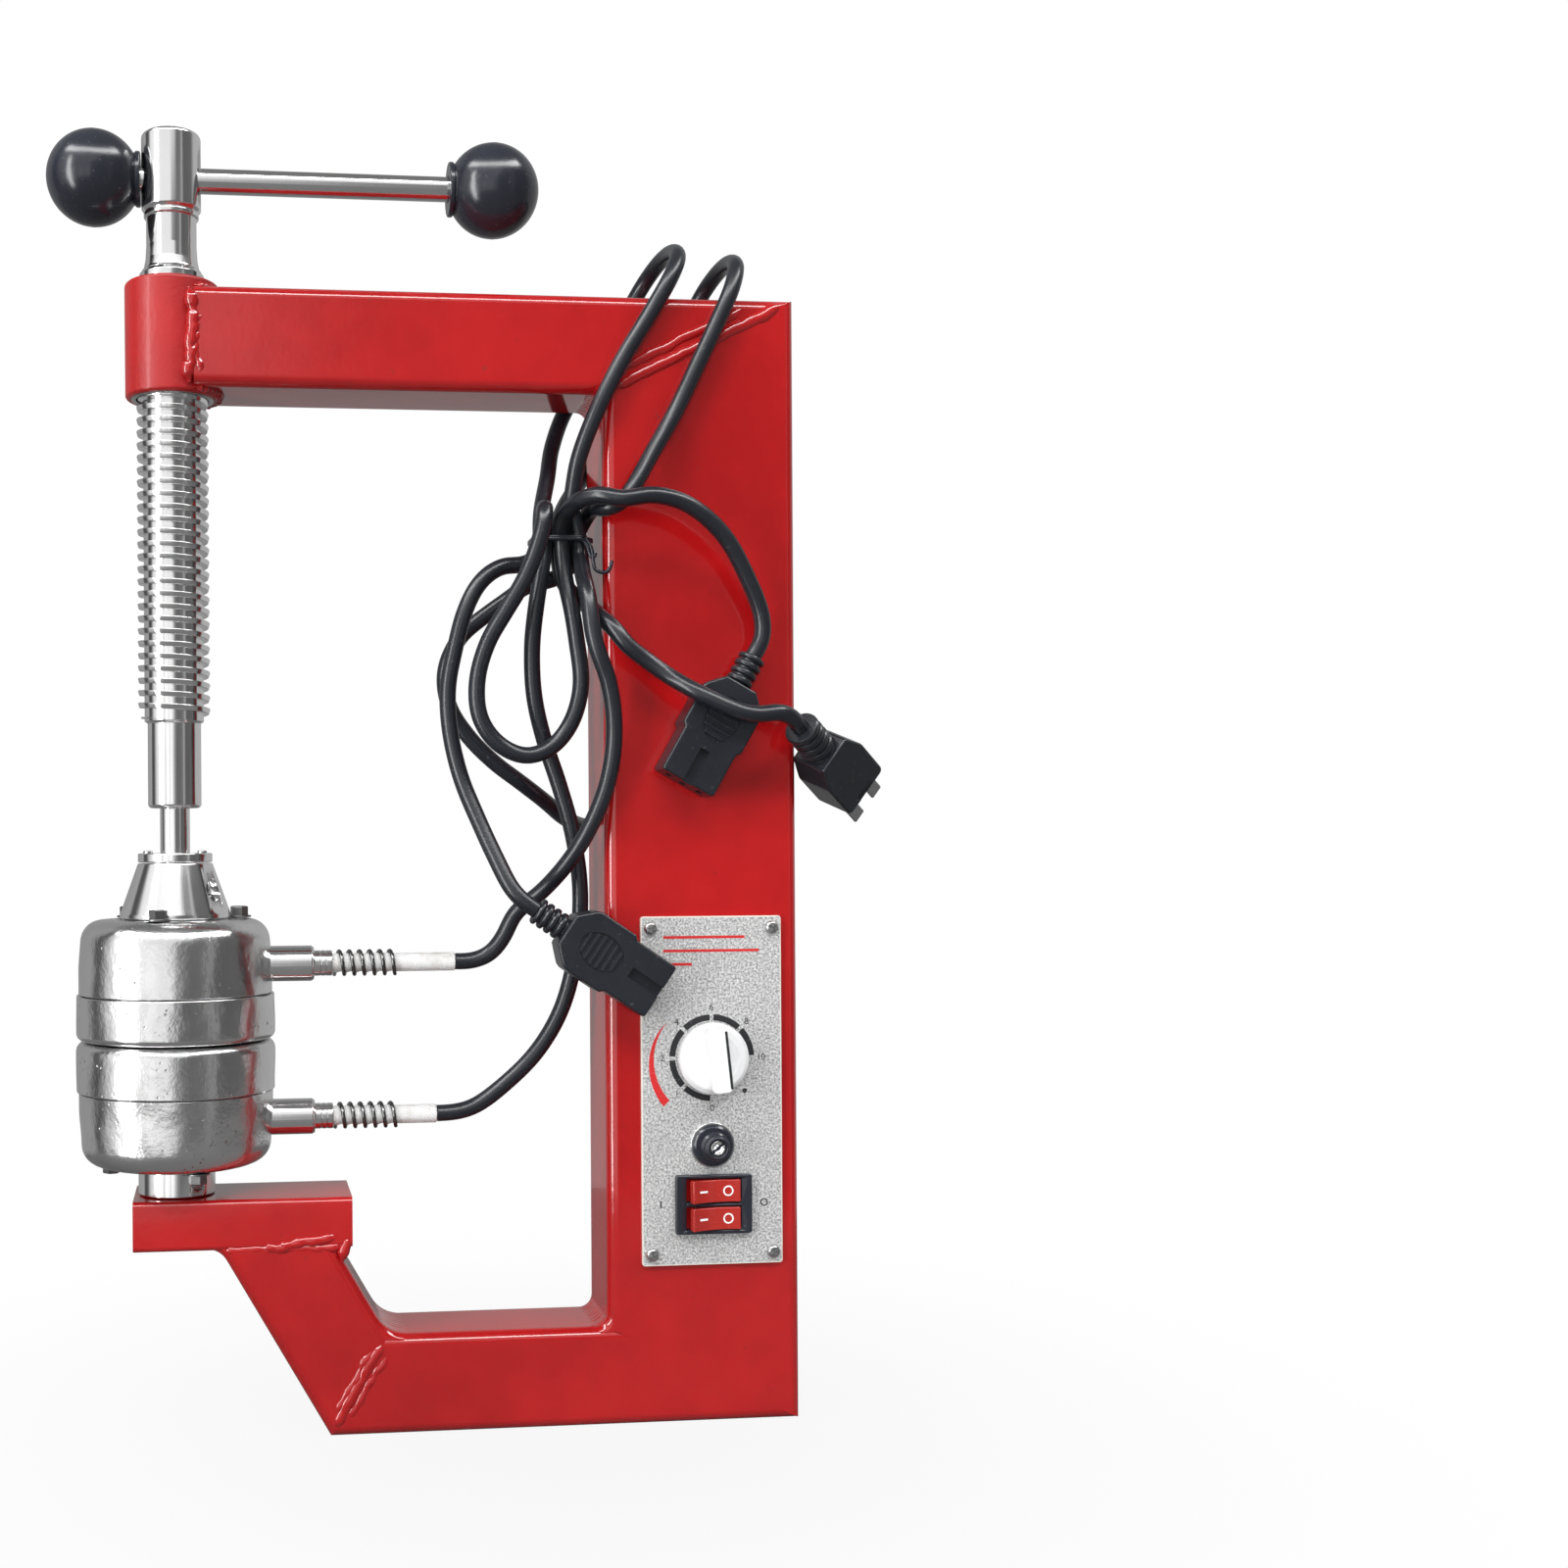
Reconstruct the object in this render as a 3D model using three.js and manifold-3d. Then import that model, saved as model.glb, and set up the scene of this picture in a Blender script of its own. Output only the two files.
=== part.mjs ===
// Tire vulcanizer: a welded C frame whose screw presses two electrically heated heads together.
// Lengths are in millimetres. +Z is up, +X runs from the screw to the column, and the control
// panel faces -Y. The origin is the centre of the lower arm's bottom face, which stands on a bench.

import * as THREE from "three";
import { mergeVertices } from "three/addons/utils/BufferGeometryUtils.js";
import Module from "manifold-3d";

const wasm = await Module();
wasm.setup();

// Clearances and faceting
const seatGap = 0.3; // between pieces that touch
const overrun = 1; // how far a cutter runs past a face
const mergeStep = 0.0001;
const headSides = 28;
const turnedSides = 20;
const smallSides = 12;
const reliefSides = 8;
const threadSides = 10; // steps in one turn of the lead screw
const screwSides = 8;
const hexSides = 6;
const wireSides = 5;
const wireStepsPerCoil = 8;
const ballSteps = 8;
const shoulderSteps = 3;
const cornerSteps = 3; // in each rounded corner of a flat outline

// Welded frame
const frameHeight = 460;
const tubeSide = 40; // the square tube of both arms and the leg, and the column's depth
const columnWidth = 80;
const tubeWall = 3;
const tubeCorner = 4.5;
const baseLength = 193; // the lower arm from mitre tip to mitre tip
const screwReach = 174; // screw axis to the column's inner face
const legLeanDegrees = 30;
const mitreGap = 0.3;

// Anvil block under the lower head
const anvilTop = 96; // above the bench
const anvilHeight = 20;
const anvilLength = 87;
const anvilPastAxis = 17;
const anvilCorner = 1.5;

// Nut boss at the end of the upper arm
const bossRadius = 19;
const bossHeight = 47;
const bossRise = 4.5; // above the arm's top face
const bossChamfer = 3;
const armEndPastAxis = 9; // where the arm's side walls end

// Trapezoidal lead screw and its nut
const threadPitch = 5;
const threadCrestRadius = 14;
const threadDepth = 2;
const threadCrestLand = 1.83;
const threadFlank = 0.54; // along the axis
const threadRunout = 2.2;
const nutCrestClearance = 0.7; // over the screw's crests
const nutRootClearance = 0.65; // over the screw's roots
const nutFlankClearance = 0.25;
const nutLeadIn = 1.6;

// Spindle, from its foot upward
const pivotLength = 10.5; // plain end below the flange
const pivotRadius = 6.5;
const flangeRadius = 9;
const flangeHeight = 6;
const flangeDepth = 0.5; // from the flange up to the foot's top face
const neckRadius = 6;
const neckLength = 18.3; // above the keeper ring
const plainRadius = 10.75;
const plainLength = 34.7;
const plainChamfer = 1.6;
const collarRadius = 13;
const collarHeight = 8.2;
const collarChamfer = 3.4;
const flareHeight = 4;
const upperNeckRadius = 10.15;
const upperNeckLength = 15.6;
const hubRadius = 12;
const hubHeight = 33;
const hubChamfer = 1.8;

// Tommy bar with its two ball knobs
const barRadius = 5;
const barHoleClearance = 0.35;
const barAboveHubFoot = 14.9;
const ballRadius = 19;
const ballCollarRadius = 10.9;
const ballCollarReach = 18.7; // from the ball's centre
const ballBoreDepth = 24; // from the collar's face
const rightBallOffset = 132; // from the screw axis with the bar pushed to the right

// Heater heads: a cast plate under a cover, closed on each other at rest
const plateRadius = 40;
const plateEdge = 2.5; // rounded rim of the working face
const upperPlateThickness = 18;
const lowerPlateThickness = 20.3;
const coverRimRadius = 39.2;
const coverCrownRadius = 38;
const coverShoulder = 8;
const coverWall = 3;
const coverCrownThickness = 4;
const upperCoverHeight = 30;
const lowerCoverHeight = 29.5;
const elementRadius = 33;
const elementThickness = 5;
const insulationRadius = 30;
const insulationThickness = 8;
const discBore = 12;
const spigotRadius = 8;
const spigotClearance = 0.3;

// Three bolts that hold each cover to its plate
const boltCircle = 27;
const boltHeadAcross = 6.4;
const boltHeadHeight = 4.6;
const boltShankRadius = 2;
const boltBite = 9; // into the plate
const boltHoleClearance = 0.4;
const upperBoltDegrees = -103;
const lowerBoltDegrees = -71;

// Cable gland, sleeve and bend spring on each head
const upperGlandHeight = 29.6; // above the working face
const lowerGlandHeight = 32.7; // below the working face
const glandRadius = 7.25;
const glandLength = 18; // outside the cover
const glandInside = 3.5;
const glandCollarRadius = 5.2;
const glandCollarLength = 7.5;
const sleeveRadius = 3.8;
const sleeveInside = 3; // past the gland's inner end
const sleeveClearance = 0.3;
const upperSleeveReach = 50.7; // beyond the gland's collar
const lowerSleeveReach = 42.7;
const springWire = 0.55; // radius
const springRadius = 4.95; // of the wire's centre line
const springCoils = 6;
const springLength = 25;

// Foot on the spindle's end, with its keeper ring and set screw
const footBaseRadius = 22.3;
const footTopRadius = 15;
const footHeight = 22.4;
const footFloor = 5.4; // under the spindle's end
const footSocketClearance = 0.7;
const keeperThickness = 3.7;
const keeperClearance = 0.6;
const setScrewRadius = 4;
const setScrewLength = 7;
const setScrewHeight = 11; // above the foot's base
const setScrewHex = 2.1;
const setScrewHexDepth = 3;
const setScrewDegrees = -35;

// Post between the anvil block and the lower head
const postRadius = 15.5;
const postHeight = 12;
const postSpigotRadius = 5;
const postSpigotLength = 14;

// Control panel on the column's front
const panelWidth = 58.5;
const panelHeight = 142;
const panelThickness = 1.5;
const panelCorner = 1.2;
const panelBottom = 65; // above the bench
const panelOffset = 2.9; // to the right of the column's middle
const panelScrewInset = 4;
const panelScrewDrop = 4.75;
const panelScrewHead = 3;
const panelScrewHeadHeight = 2;
const panelScrewCrownShare = 0.6; // of the head's radius
const panelScrewShank = 1.5;
const panelScrewLength = 8;
const windowWidth = 42;
const windowHeight = 116;

// Timer and its knob
const timerAbovePanelMiddle = 13.3;
const timerBodySide = 40;
const timerBodyDepth = 28;
const timerBossRadius = 5;
const timerBossReach = 3; // in front of the panel
const knobRadius = 14.5;
const knobDisc = 5;
const knobEdge = 1.2;
const knobBarWidth = 7;
const knobBarHeight = 8;
const knobBarTaper = 1.2;
const knobStandOff = 0.8;
const knobSocketDepth = 2.6;
const shaftRadius = 3;
const shaftDepth = 14; // inside the timer

// Fuse holder with its cap and fuse
const fuseBelowPanelMiddle = 22.3;
const fuseFlangeRadius = 8.5;
const fuseFlangeHeight = 2.2;
const fuseBodyRadius = 6;
const fuseBodyDepth = 33;
const fuseBoreRadius = 3.4;
const fuseRadius = 2.6;
const fuseLength = 20;
const fuseCapRadius = 6;
const fuseCapHeight = 7;
const fuseCapSocket = 4; // takes the fuse's front end
const fuseCapSlot = 1.2;

// Switch with two rockers
const switchBelowPanelMiddle = 46.1;
const bezelWidth = 31.8;
const bezelHeight = 24.2;
const bezelThickness = 2.4;
const bezelCorner = 1;
const switchBodyWidth = 28;
const switchBodyHeight = 21.4;
const switchBodyDepth = 22;
const rockerWidth = 21;
const rockerHeight = 9;
const rockerSpacing = 11.2;
const rockerDish = 1.9; // how far the ends stand above the middle
const rockerMiddle = 1.5; // the middle above the pivot
const rockerBack = 3; // below the pivot
const rockerPivotDepth = 0.4; // behind the bezel's face
const rockerPocketClearance = 1.1;
const rockerPocketDepth = 9;
const rockerPinRadius = 1;
const rockerPinReach = 0.7;
const rockerTiltDegrees = 10;
const bladeWidth = 4.8;
const bladeThickness = 0.8;
const bladeLength = 6;
const bladePitchShare = 1 / 3; // of the switch body's width

// Appliance inlets and the mains gland on the column's back
const lowerInletHeight = 280; // above the bench
const inletSpacing = 40;
const inletFlangeWidth = 31;
const inletFlangeHeight = 24;
const inletFlangeThickness = 2.5;
const inletBodyWidth = 27.4;
const inletBodyHeight = 20;
const inletBodyDepth = 17;
const inletCavityWidth = 24.6;
const inletCavityHeight = 16.6;
const inletCavityDepth = 15;
const inletCorner = 4; // cut off the two upper corners
const pinWidth = 4;
const pinThickness = 2;
const pinSpacing = 7;
const pinRise = 1; // of the middle pin
const pinInset = 1.5; // the pins' tips behind the mouth
const mainsGlandBelowInlet = 43.6;
const mainsGlandRadius = 9;
const mainsGlandFlange = 3;
const mainsGlandNose = 16;
const mainsGlandNoseRadius = 6.2;
const mainsGlandThreadRadius = 6;
const mainsGlandThreadLength = 9;

// Cords, connectors, plug and tie
const cordRadius = 3.4;
const cordSides = 6;
const reliefRadius = 5.6;
const reliefLength = 13.5;
const reliefGroove = 1.1;
const reliefRibs = 4;
const reliefRingShare = 2 / 3; // of the rings' pitch
const connectorWidth = 24;
const connectorThickness = 16;
const connectorNose = 19.5;
const connectorGrip = 26;
const connectorEdge = 1.4;
const gripShoulder = 7; // where the grip reaches its full width
const gripSwell = 1.6; // how far the grip stands out past the nose on each side
const gripRibWidth = 12;
const gripRibPitch = 3.2;
const gripRibCount = 5;
const gripGroove = 0.7;
const keyGrooveWidth = 4.4;
const keyGrooveDepth = 2.6;
const keyGrooveLength = 15;
const contactSlotWidth = 2.6;
const contactSlotHeight = 4.8;
const contactSlotDepth = 14;
const plugLength = 31;
const plugWidth = 24;
const plugShoulderShare = 1 / 3; // of the plug's length
const plugThickness = 18;
const plugReliefLength = 17;
const plugReliefRadius = 7.2;
const plugNotchWidth = 7;
const plugNotchDepth = 3;
const plugPinWidth = 6.3;
const plugPinThickness = 1.5;
const plugPinLength = 16; // outside the plug
const plugPinRoot = 5; // inside the plug
const plugPinSpacing = 12.7;
const tieX = 0.5; // the bundle's middle
const tieY = -8;
const tieHeight = 361; // above the bench
const tieInnerHalfWidth = 11.4;
const tieInnerHalfDepth = 8.5;
const tieCorner = 4.5; // inside
const tieThickness = 2;
const tieStrap = 2.4;
const tieTailRadius = 1.2;
const tieTailLength = 13;
const tieTailDirection = [2, -3, -4];

// Places worked out from the sizes above
const columnRight = baseLength / 2;
const columnLeft = columnRight - columnWidth;
const screwX = columnLeft - screwReach;
const frontFace = -tubeSide / 2;
const bossTop = frameHeight + bossRise;
const bossBottom = bossTop - bossHeight;
const lowerHeadBottom = anvilTop + postHeight + 2 * seatGap;
const workingFace = lowerHeadBottom + lowerCoverHeight + seatGap + lowerPlateThickness;
const upperFace = workingFace + seatGap;
const footBottom = upperFace + upperPlateThickness + seatGap + upperCoverHeight + seatGap;
const footTop = footBottom + footHeight;
const keeperTop = footTop + seatGap + keeperThickness;
const neckTop = keeperTop + neckLength;
const threadBottom = neckTop + plainLength;
const collarBottom = bossTop + seatGap;
const hubFoot = collarBottom + collarHeight + flareHeight + upperNeckLength;
const barHeight = hubFoot + barAboveHubFoot;
const panelX = (columnLeft + columnRight) / 2 + panelOffset;
const panelMiddle = panelBottom + panelHeight / 2;
const panelFront = frontFace - seatGap - panelThickness;
const timerHeight = panelMiddle + timerAbovePanelMiddle;
const fuseHeight = panelMiddle - fuseBelowPanelMiddle;
const switchHeight = panelMiddle - switchBelowPanelMiddle;
const columnX = (columnLeft + columnRight) / 2;
const mainsGlandHeight = lowerInletHeight - mainsGlandBelowInlet;

// Materials
const material = (color, roughness, metalness) =>
  new THREE.MeshStandardMaterial({ color, roughness, metalness });
const redEnamel = material(0xb01a1e, 0.25, 0.1);
const chrome = material(0xd8dadc, 0.12, 1);
const castAluminium = material(0xbfc1c2, 0.35, 1);
const steel = material(0x9da0a3, 0.3, 1);
const mica = material(0xb9a27a, 0.8, 0);
const ceramicFibre = material(0xe6e1d6, 0.95, 0);
const whiteSleeve = material(0xf0efec, 0.6, 0);
const blackPlastic = material(0x17181b, 0.35, 0);
const blackRubber = material(0x131416, 0.5, 0);
const silverPlate = material(0xa9adaf, 0.45, 0.8);
const knobPlastic = material(0xe2e4e4, 0.35, 0.2);
const rockerRed = material(0xd8321f, 0.3, 0);
const fuseGlass = material(0xdfe8ea, 0.1, 0);
const fibreBoard = material(0x6b4a32, 0.7, 0);

// Scene graph
const vulcanizer = new THREE.Group();
vulcanizer.name = "tire_vulcanizer";
const onScrewAxis = new THREE.Group();
onScrewAxis.position.x = screwX;
vulcanizer.add(onScrewAxis);

function addPiece(parent, name, geometry, look, x = 0, y = 0, z = 0) {
  const mesh = new THREE.Mesh(geometry, look);
  mesh.name = name;
  mesh.position.set(x, y, z);
  parent.add(mesh);
  return mesh;
}

// Solid joins and cuts

function solidOf(geometry) {
  const bare = geometry.clone();
  bare.deleteAttribute("normal");
  bare.deleteAttribute("uv");
  const merged = mergeVertices(bare, mergeStep);
  const corners = merged.index.array;
  const triangles = [];
  for (let i = 0; i < corners.length; i += 3) {
    const [a, b, c] = corners.slice(i, i + 3);
    if (a !== b && b !== c && c !== a) triangles.push(a, b, c);
  }
  return new wasm.Manifold(
    new wasm.Mesh({
      numProp: 3,
      vertProperties: Float32Array.from(merged.attributes.position.array),
      triVerts: Uint32Array.from(triangles),
    }),
  );
}

function geometryOf(solid) {
  const { vertProperties, triVerts } = solid.getMesh();
  const geometry = new THREE.BufferGeometry();
  geometry.setAttribute("position", new THREE.BufferAttribute(vertProperties, 3));
  geometry.setIndex(new THREE.BufferAttribute(triVerts, 1));
  geometry.computeVertexNormals();
  return geometry;
}

function cut(base, ...tools) {
  return geometryOf(tools.reduce((left, tool) => left.subtract(solidOf(tool)), solidOf(base)));
}

function join(...parts) {
  return geometryOf(parts.map(solidOf).reduce((sum, part) => sum.add(part)));
}

function common(a, b) {
  return geometryOf(solidOf(a).intersect(solidOf(b)));
}

// Basic forms

// A form turned about Z from [radius, height] points, outside going up.
function turned(profile, sides = turnedSides) {
  const points = profile.map(([radius, height]) => new THREE.Vector2(radius, height));
  return new THREE.LatheGeometry(points, sides).rotateX(Math.PI / 2);
}

// A ring or tube turned about Z, whose [radius, height] outline closes on itself.
function turnedRing(outline, sides = turnedSides) {
  return turned([...outline, outline[0]], sides);
}

function rod(radius, bottom, top, sides = smallSides) {
  return turned([[0, bottom], [radius, bottom], [radius, top], [0, top]], sides);
}

function box(width, depth, height, x = 0, y = 0, z = 0) {
  return new THREE.BoxGeometry(width, depth, height).translate(x, y, z);
}

function prism(points, depth) {
  const outline = new THREE.Shape(points.map(([x, y]) => new THREE.Vector2(x, y)));
  return new THREE.ExtrudeGeometry(outline, { depth, bevelEnabled: false });
}

function roundedOutline(width, height, radius, target = new THREE.Shape()) {
  const x = width / 2 - radius;
  const y = height / 2 - radius;
  target.absarc(x, y, radius, 0, Math.PI / 2);
  target.absarc(-x, y, radius, Math.PI / 2, Math.PI);
  target.absarc(-x, -y, radius, Math.PI, 1.5 * Math.PI);
  target.absarc(x, -y, radius, 1.5 * Math.PI, 2 * Math.PI);
  target.closePath();
  return target;
}

function roundedPlate(width, height, thickness, radius) {
  const outline = roundedOutline(width, height, radius);
  return new THREE.ExtrudeGeometry(outline, {
    depth: thickness,
    bevelEnabled: false,
    curveSegments: cornerSteps,
  });
}

// Rectangular tube along Z from 0 to its length, open at both ends.
function squareTube(width, height, length) {
  const outline = roundedOutline(width, height, tubeCorner);
  const bore = roundedOutline(
    width - 2 * tubeWall,
    height - 2 * tubeWall,
    tubeCorner - tubeWall / 2,
    new THREE.Path(),
  );
  outline.holes.push(bore);
  return new THREE.ExtrudeGeometry(outline, {
    depth: length,
    bevelEnabled: false,
    curveSegments: cornerSteps,
  });
}

// A wedge that runs through the frame's whole depth, from its outline in X and Z.
function frameWedge(points) {
  const depth = tubeSide + 2 * overrun;
  return prism(points, depth).rotateX(Math.PI / 2).translate(0, depth / 2, 0);
}

// A long frame tube from x to x along the bench direction, centred at a height.
function levelTube(fromX, toX, height) {
  return squareTube(tubeSide, tubeSide, toX - fromX)
    .rotateY(Math.PI / 2)
    .translate(fromX, 0, height);
}

// Frame of mitred tubes

const tubeMiddle = tubeSide / 2;
const leanX = Math.sin(THREE.MathUtils.degToRad(legLeanDegrees));
const leanZ = Math.cos(THREE.MathUtils.degToRad(legLeanDegrees));
const legMitreX = tubeSide * Math.tan(THREE.MathUtils.degToRad(legLeanDegrees));
const footprintLeft = -baseLength / 2;
const far = frameHeight; // a cutter's reach, well past every tube

// The column's lower mitre climbs from its outer foot to the lower arm's top face.
function addColumn() {
  const gap = mitreGap / 2;
  const below = frameWedge([
    [columnLeft - overrun, tubeSide + overrun * (tubeSide / columnWidth) + gap],
    [columnRight, gap],
    [columnRight + overrun, gap],
    [columnRight + overrun, -overrun],
    [columnLeft - overrun, -overrun],
  ]);
  const above = frameWedge([
    [columnLeft - overrun, frameHeight - tubeSide - overrun * (tubeSide / columnWidth) - gap],
    [columnLeft - overrun, frameHeight + overrun],
    [columnRight + overrun, frameHeight + overrun],
    [columnRight + overrun, frameHeight - gap],
    [columnRight, frameHeight - gap],
  ]);
  const tube = squareTube(columnWidth, tubeSide, frameHeight).translate(columnX, 0, 0);
  const wallCut = tubeWall + 2 * overrun;
  const frontCut = frontFace + tubeWall / 2;
  const window = box(windowWidth, wallCut, windowHeight, panelX, frontCut, panelMiddle);
  const screwHoles = panelScrewPlaces().map(([x, z]) =>
    rod(panelScrewShank + seatGap, -wallCut / 2, wallCut / 2, screwSides)
      .rotateX(Math.PI / 2)
      .translate(x, frontCut, z),
  );
  const backCut = -frontCut;
  const inletCuts = inletHeights().map((z) =>
    box(
      inletBodyWidth + 2 * seatGap,
      wallCut,
      inletBodyHeight + 2 * seatGap,
      columnX,
      backCut,
      z,
    ),
  );
  const glandCut = rod(mainsGlandThreadRadius + seatGap, -wallCut / 2, wallCut / 2)
    .rotateX(Math.PI / 2)
    .translate(columnX, backCut, mainsGlandHeight);
  const column = cut(tube, below, above, window, ...screwHoles, ...inletCuts, glandCut);
  addPiece(vulcanizer, "column_tube", column, redEnamel);
}

function addUpperArm() {
  const gap = mitreGap / 2;
  const tube = levelTube(screwX + armEndPastAxis, columnRight, frameHeight - tubeMiddle);
  const underMitre = frameWedge([
    [columnLeft, frameHeight - tubeSide - overrun],
    [columnLeft, frameHeight - tubeSide + gap],
    [columnRight, frameHeight + gap],
    [columnRight + overrun, frameHeight + gap],
    [columnRight + overrun, frameHeight - tubeSide - overrun],
  ]);
  const saddle = rod(bossRadius + seatGap, bossBottom - overrun, bossTop + overrun, headSides);
  const arm = cut(tube, underMitre, saddle.translate(screwX, 0, 0));
  addPiece(vulcanizer, "upper_arm_tube", arm, redEnamel);
}

function addLowerArm() {
  const gap = mitreGap / 2;
  const tube = levelTube(footprintLeft, columnRight, tubeMiddle);
  const overMitre = frameWedge([
    [columnLeft, tubeSide + overrun],
    [columnRight + overrun, tubeSide + overrun],
    [columnRight + overrun, -gap],
    [columnRight, -gap],
    [columnLeft, tubeSide - gap],
  ]);
  const pastLeg = frameWedge([
    [footprintLeft + gap, -overrun],
    [footprintLeft + gap, 0],
    [footprintLeft + legMitreX + gap, tubeSide],
    [footprintLeft + legMitreX + gap, tubeSide + overrun],
    [footprintLeft - overrun, tubeSide + overrun],
    [footprintLeft - overrun, -overrun],
  ]);
  addPiece(vulcanizer, "lower_arm_tube", cut(tube, overMitre, pastLeg), redEnamel);
}

// The leg leans out from the lower arm's mitre to the underside of the anvil block.
function addSlantLeg() {
  const gap = mitreGap / 2;
  const legTop = anvilTop - anvilHeight - seatGap;
  const length = (legTop + tubeSide) / leanZ;
  const tube = squareTube(tubeSide, tubeSide, length)
    .translate(tubeMiddle, 0, -tubeSide / 2)
    .rotateY(-Math.asin(leanX))
    .translate(footprintLeft, 0, 0);
  const pastArm = frameWedge([
    [footprintLeft - gap, 0],
    [footprintLeft + legMitreX - gap, tubeSide],
    [footprintLeft + legMitreX * 2 - gap, tubeSide * 2],
    [footprintLeft + far, tubeSide * 2],
    [footprintLeft + far, -far],
    [footprintLeft - legMitreX - gap, -tubeSide],
  ]);
  const overTop = frameWedge([
    [footprintLeft - far, legTop],
    [footprintLeft + far, legTop],
    [footprintLeft + far, far],
    [footprintLeft - far, far],
  ]);
  addPiece(vulcanizer, "slant_leg_tube", cut(tube, pastArm, overTop), redEnamel);
}

function addAnvilBlock() {
  const block = roundedPlate(anvilLength, anvilHeight, tubeSide, anvilCorner)
    .rotateX(Math.PI / 2)
    .translate(anvilLength / 2 - anvilPastAxis, tubeSide / 2, anvilTop - anvilHeight / 2);
  const hole = rod(
    postSpigotRadius + spigotClearance,
    anvilTop - anvilHeight - overrun,
    anvilTop + overrun,
  );
  addPiece(onScrewAxis, "anvil_block", cut(block, hole), redEnamel);
}

// Lead screw and nut

// A right-handed threaded rod along Z, built as one helical strip from root to root.
function threadedRod(root, crest, crestLand, flank, bottom, top) {
  const rootLand = threadPitch - crestLand - 2 * flank;
  const outline = [
    [root, rootLand / 2],
    [crest, rootLand / 2 + flank],
    [crest, rootLand / 2 + flank + crestLand],
    [root, threadPitch - rootLand / 2],
  ];
  const turns = Math.ceil((top - bottom) / threadPitch);
  const steps = turns * threadSides;
  const vertices = [];
  const addPoint = (step, [radius, rise]) => {
    const angle = (2 * Math.PI * step) / threadSides;
    const height = bottom + (threadPitch * step) / threadSides + rise;
    vertices.push(radius * Math.cos(angle), radius * Math.sin(angle), height);
  };
  for (let step = 0; step <= steps; step++) outline.forEach((point) => addPoint(step, point));
  for (let step = steps + 1; step <= steps + threadSides; step++) addPoint(step, outline[0]);
  const corner = (step, j) => {
    const turn = j === outline.length ? step + threadSides : step;
    const row = j === outline.length ? 0 : j;
    if (turn <= steps) return turn * outline.length + row;
    return (steps + 1) * (outline.length - 1) + turn;
  };
  const lowCentre = vertices.length / 3;
  vertices.push(0, 0, bottom + outline[0][1]);
  const highCentre = lowCentre + 1;
  vertices.push(0, 0, bottom + threadPitch * (turns + 1) + outline[0][1]);
  const faces = [];
  for (let step = 0; step < steps; step++) {
    for (let j = 0; j < outline.length; j++) {
      const [a, b] = [corner(step, j), corner(step + 1, j)];
      const [c, d] = [corner(step + 1, j + 1), corner(step, j + 1)];
      faces.push(a, b, c, a, c, d);
    }
  }
  for (let step = 0; step < threadSides; step++) {
    faces.push(lowCentre, corner(step + 1, 0), corner(step, 0));
    const last = steps - threadSides + step;
    faces.push(highCentre, corner(last, outline.length), corner(last + 1, outline.length));
  }
  for (let j = 0; j < outline.length; j++) {
    faces.push(lowCentre, corner(0, j), corner(0, j + 1));
    faces.push(highCentre, corner(steps, j + 1), corner(steps, j));
  }
  const geometry = new THREE.BufferGeometry();
  geometry.setAttribute("position", new THREE.Float32BufferAttribute(vertices, 3));
  geometry.setIndex(faces);
  return geometry;
}

const threadRootRadius = threadCrestRadius - threadDepth;
const threadOrigin = threadBottom - 2 * threadPitch; // both threads start here, in mesh

function addNutBoss() {
  const boss = turned(
    [
      [0, bossBottom],
      [bossRadius - bossChamfer, bossBottom],
      [bossRadius, bossBottom + bossChamfer],
      [bossRadius, bossTop - bossChamfer],
      [bossRadius - bossChamfer, bossTop],
      [0, bossTop],
    ],
    headSides,
  );
  const nutCrest = threadCrestRadius + nutCrestClearance;
  const nutRoot = threadRootRadius + nutRootClearance;
  const flankShare = threadFlank / threadDepth;
  const flank = (nutCrest - nutRoot) * flankShare;
  const crestLand = threadCrestLand + 2 * nutFlankClearance - 2 * nutCrestClearance * flankShare;
  const tap = threadedRod(
    nutRoot,
    nutCrest,
    crestLand,
    flank,
    threadOrigin,
    bossTop + 2 * threadPitch,
  );
  const leadIns = turned([
    [0, bossBottom - overrun],
    [nutCrest + overrun, bossBottom - overrun],
    [nutCrest, bossBottom],
    [nutCrest - nutLeadIn, bossBottom + nutLeadIn],
    [0, bossBottom + nutLeadIn],
  ]);
  const seat = turned([
    [0, bossTop - nutLeadIn],
    [nutCrest - nutLeadIn, bossTop - nutLeadIn],
    [nutCrest, bossTop],
    [nutCrest + overrun, bossTop + overrun],
    [0, bossTop + overrun],
  ]);
  addPiece(onScrewAxis, "nut_boss", cut(boss, tap, leadIns, seat), redEnamel);
}

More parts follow.
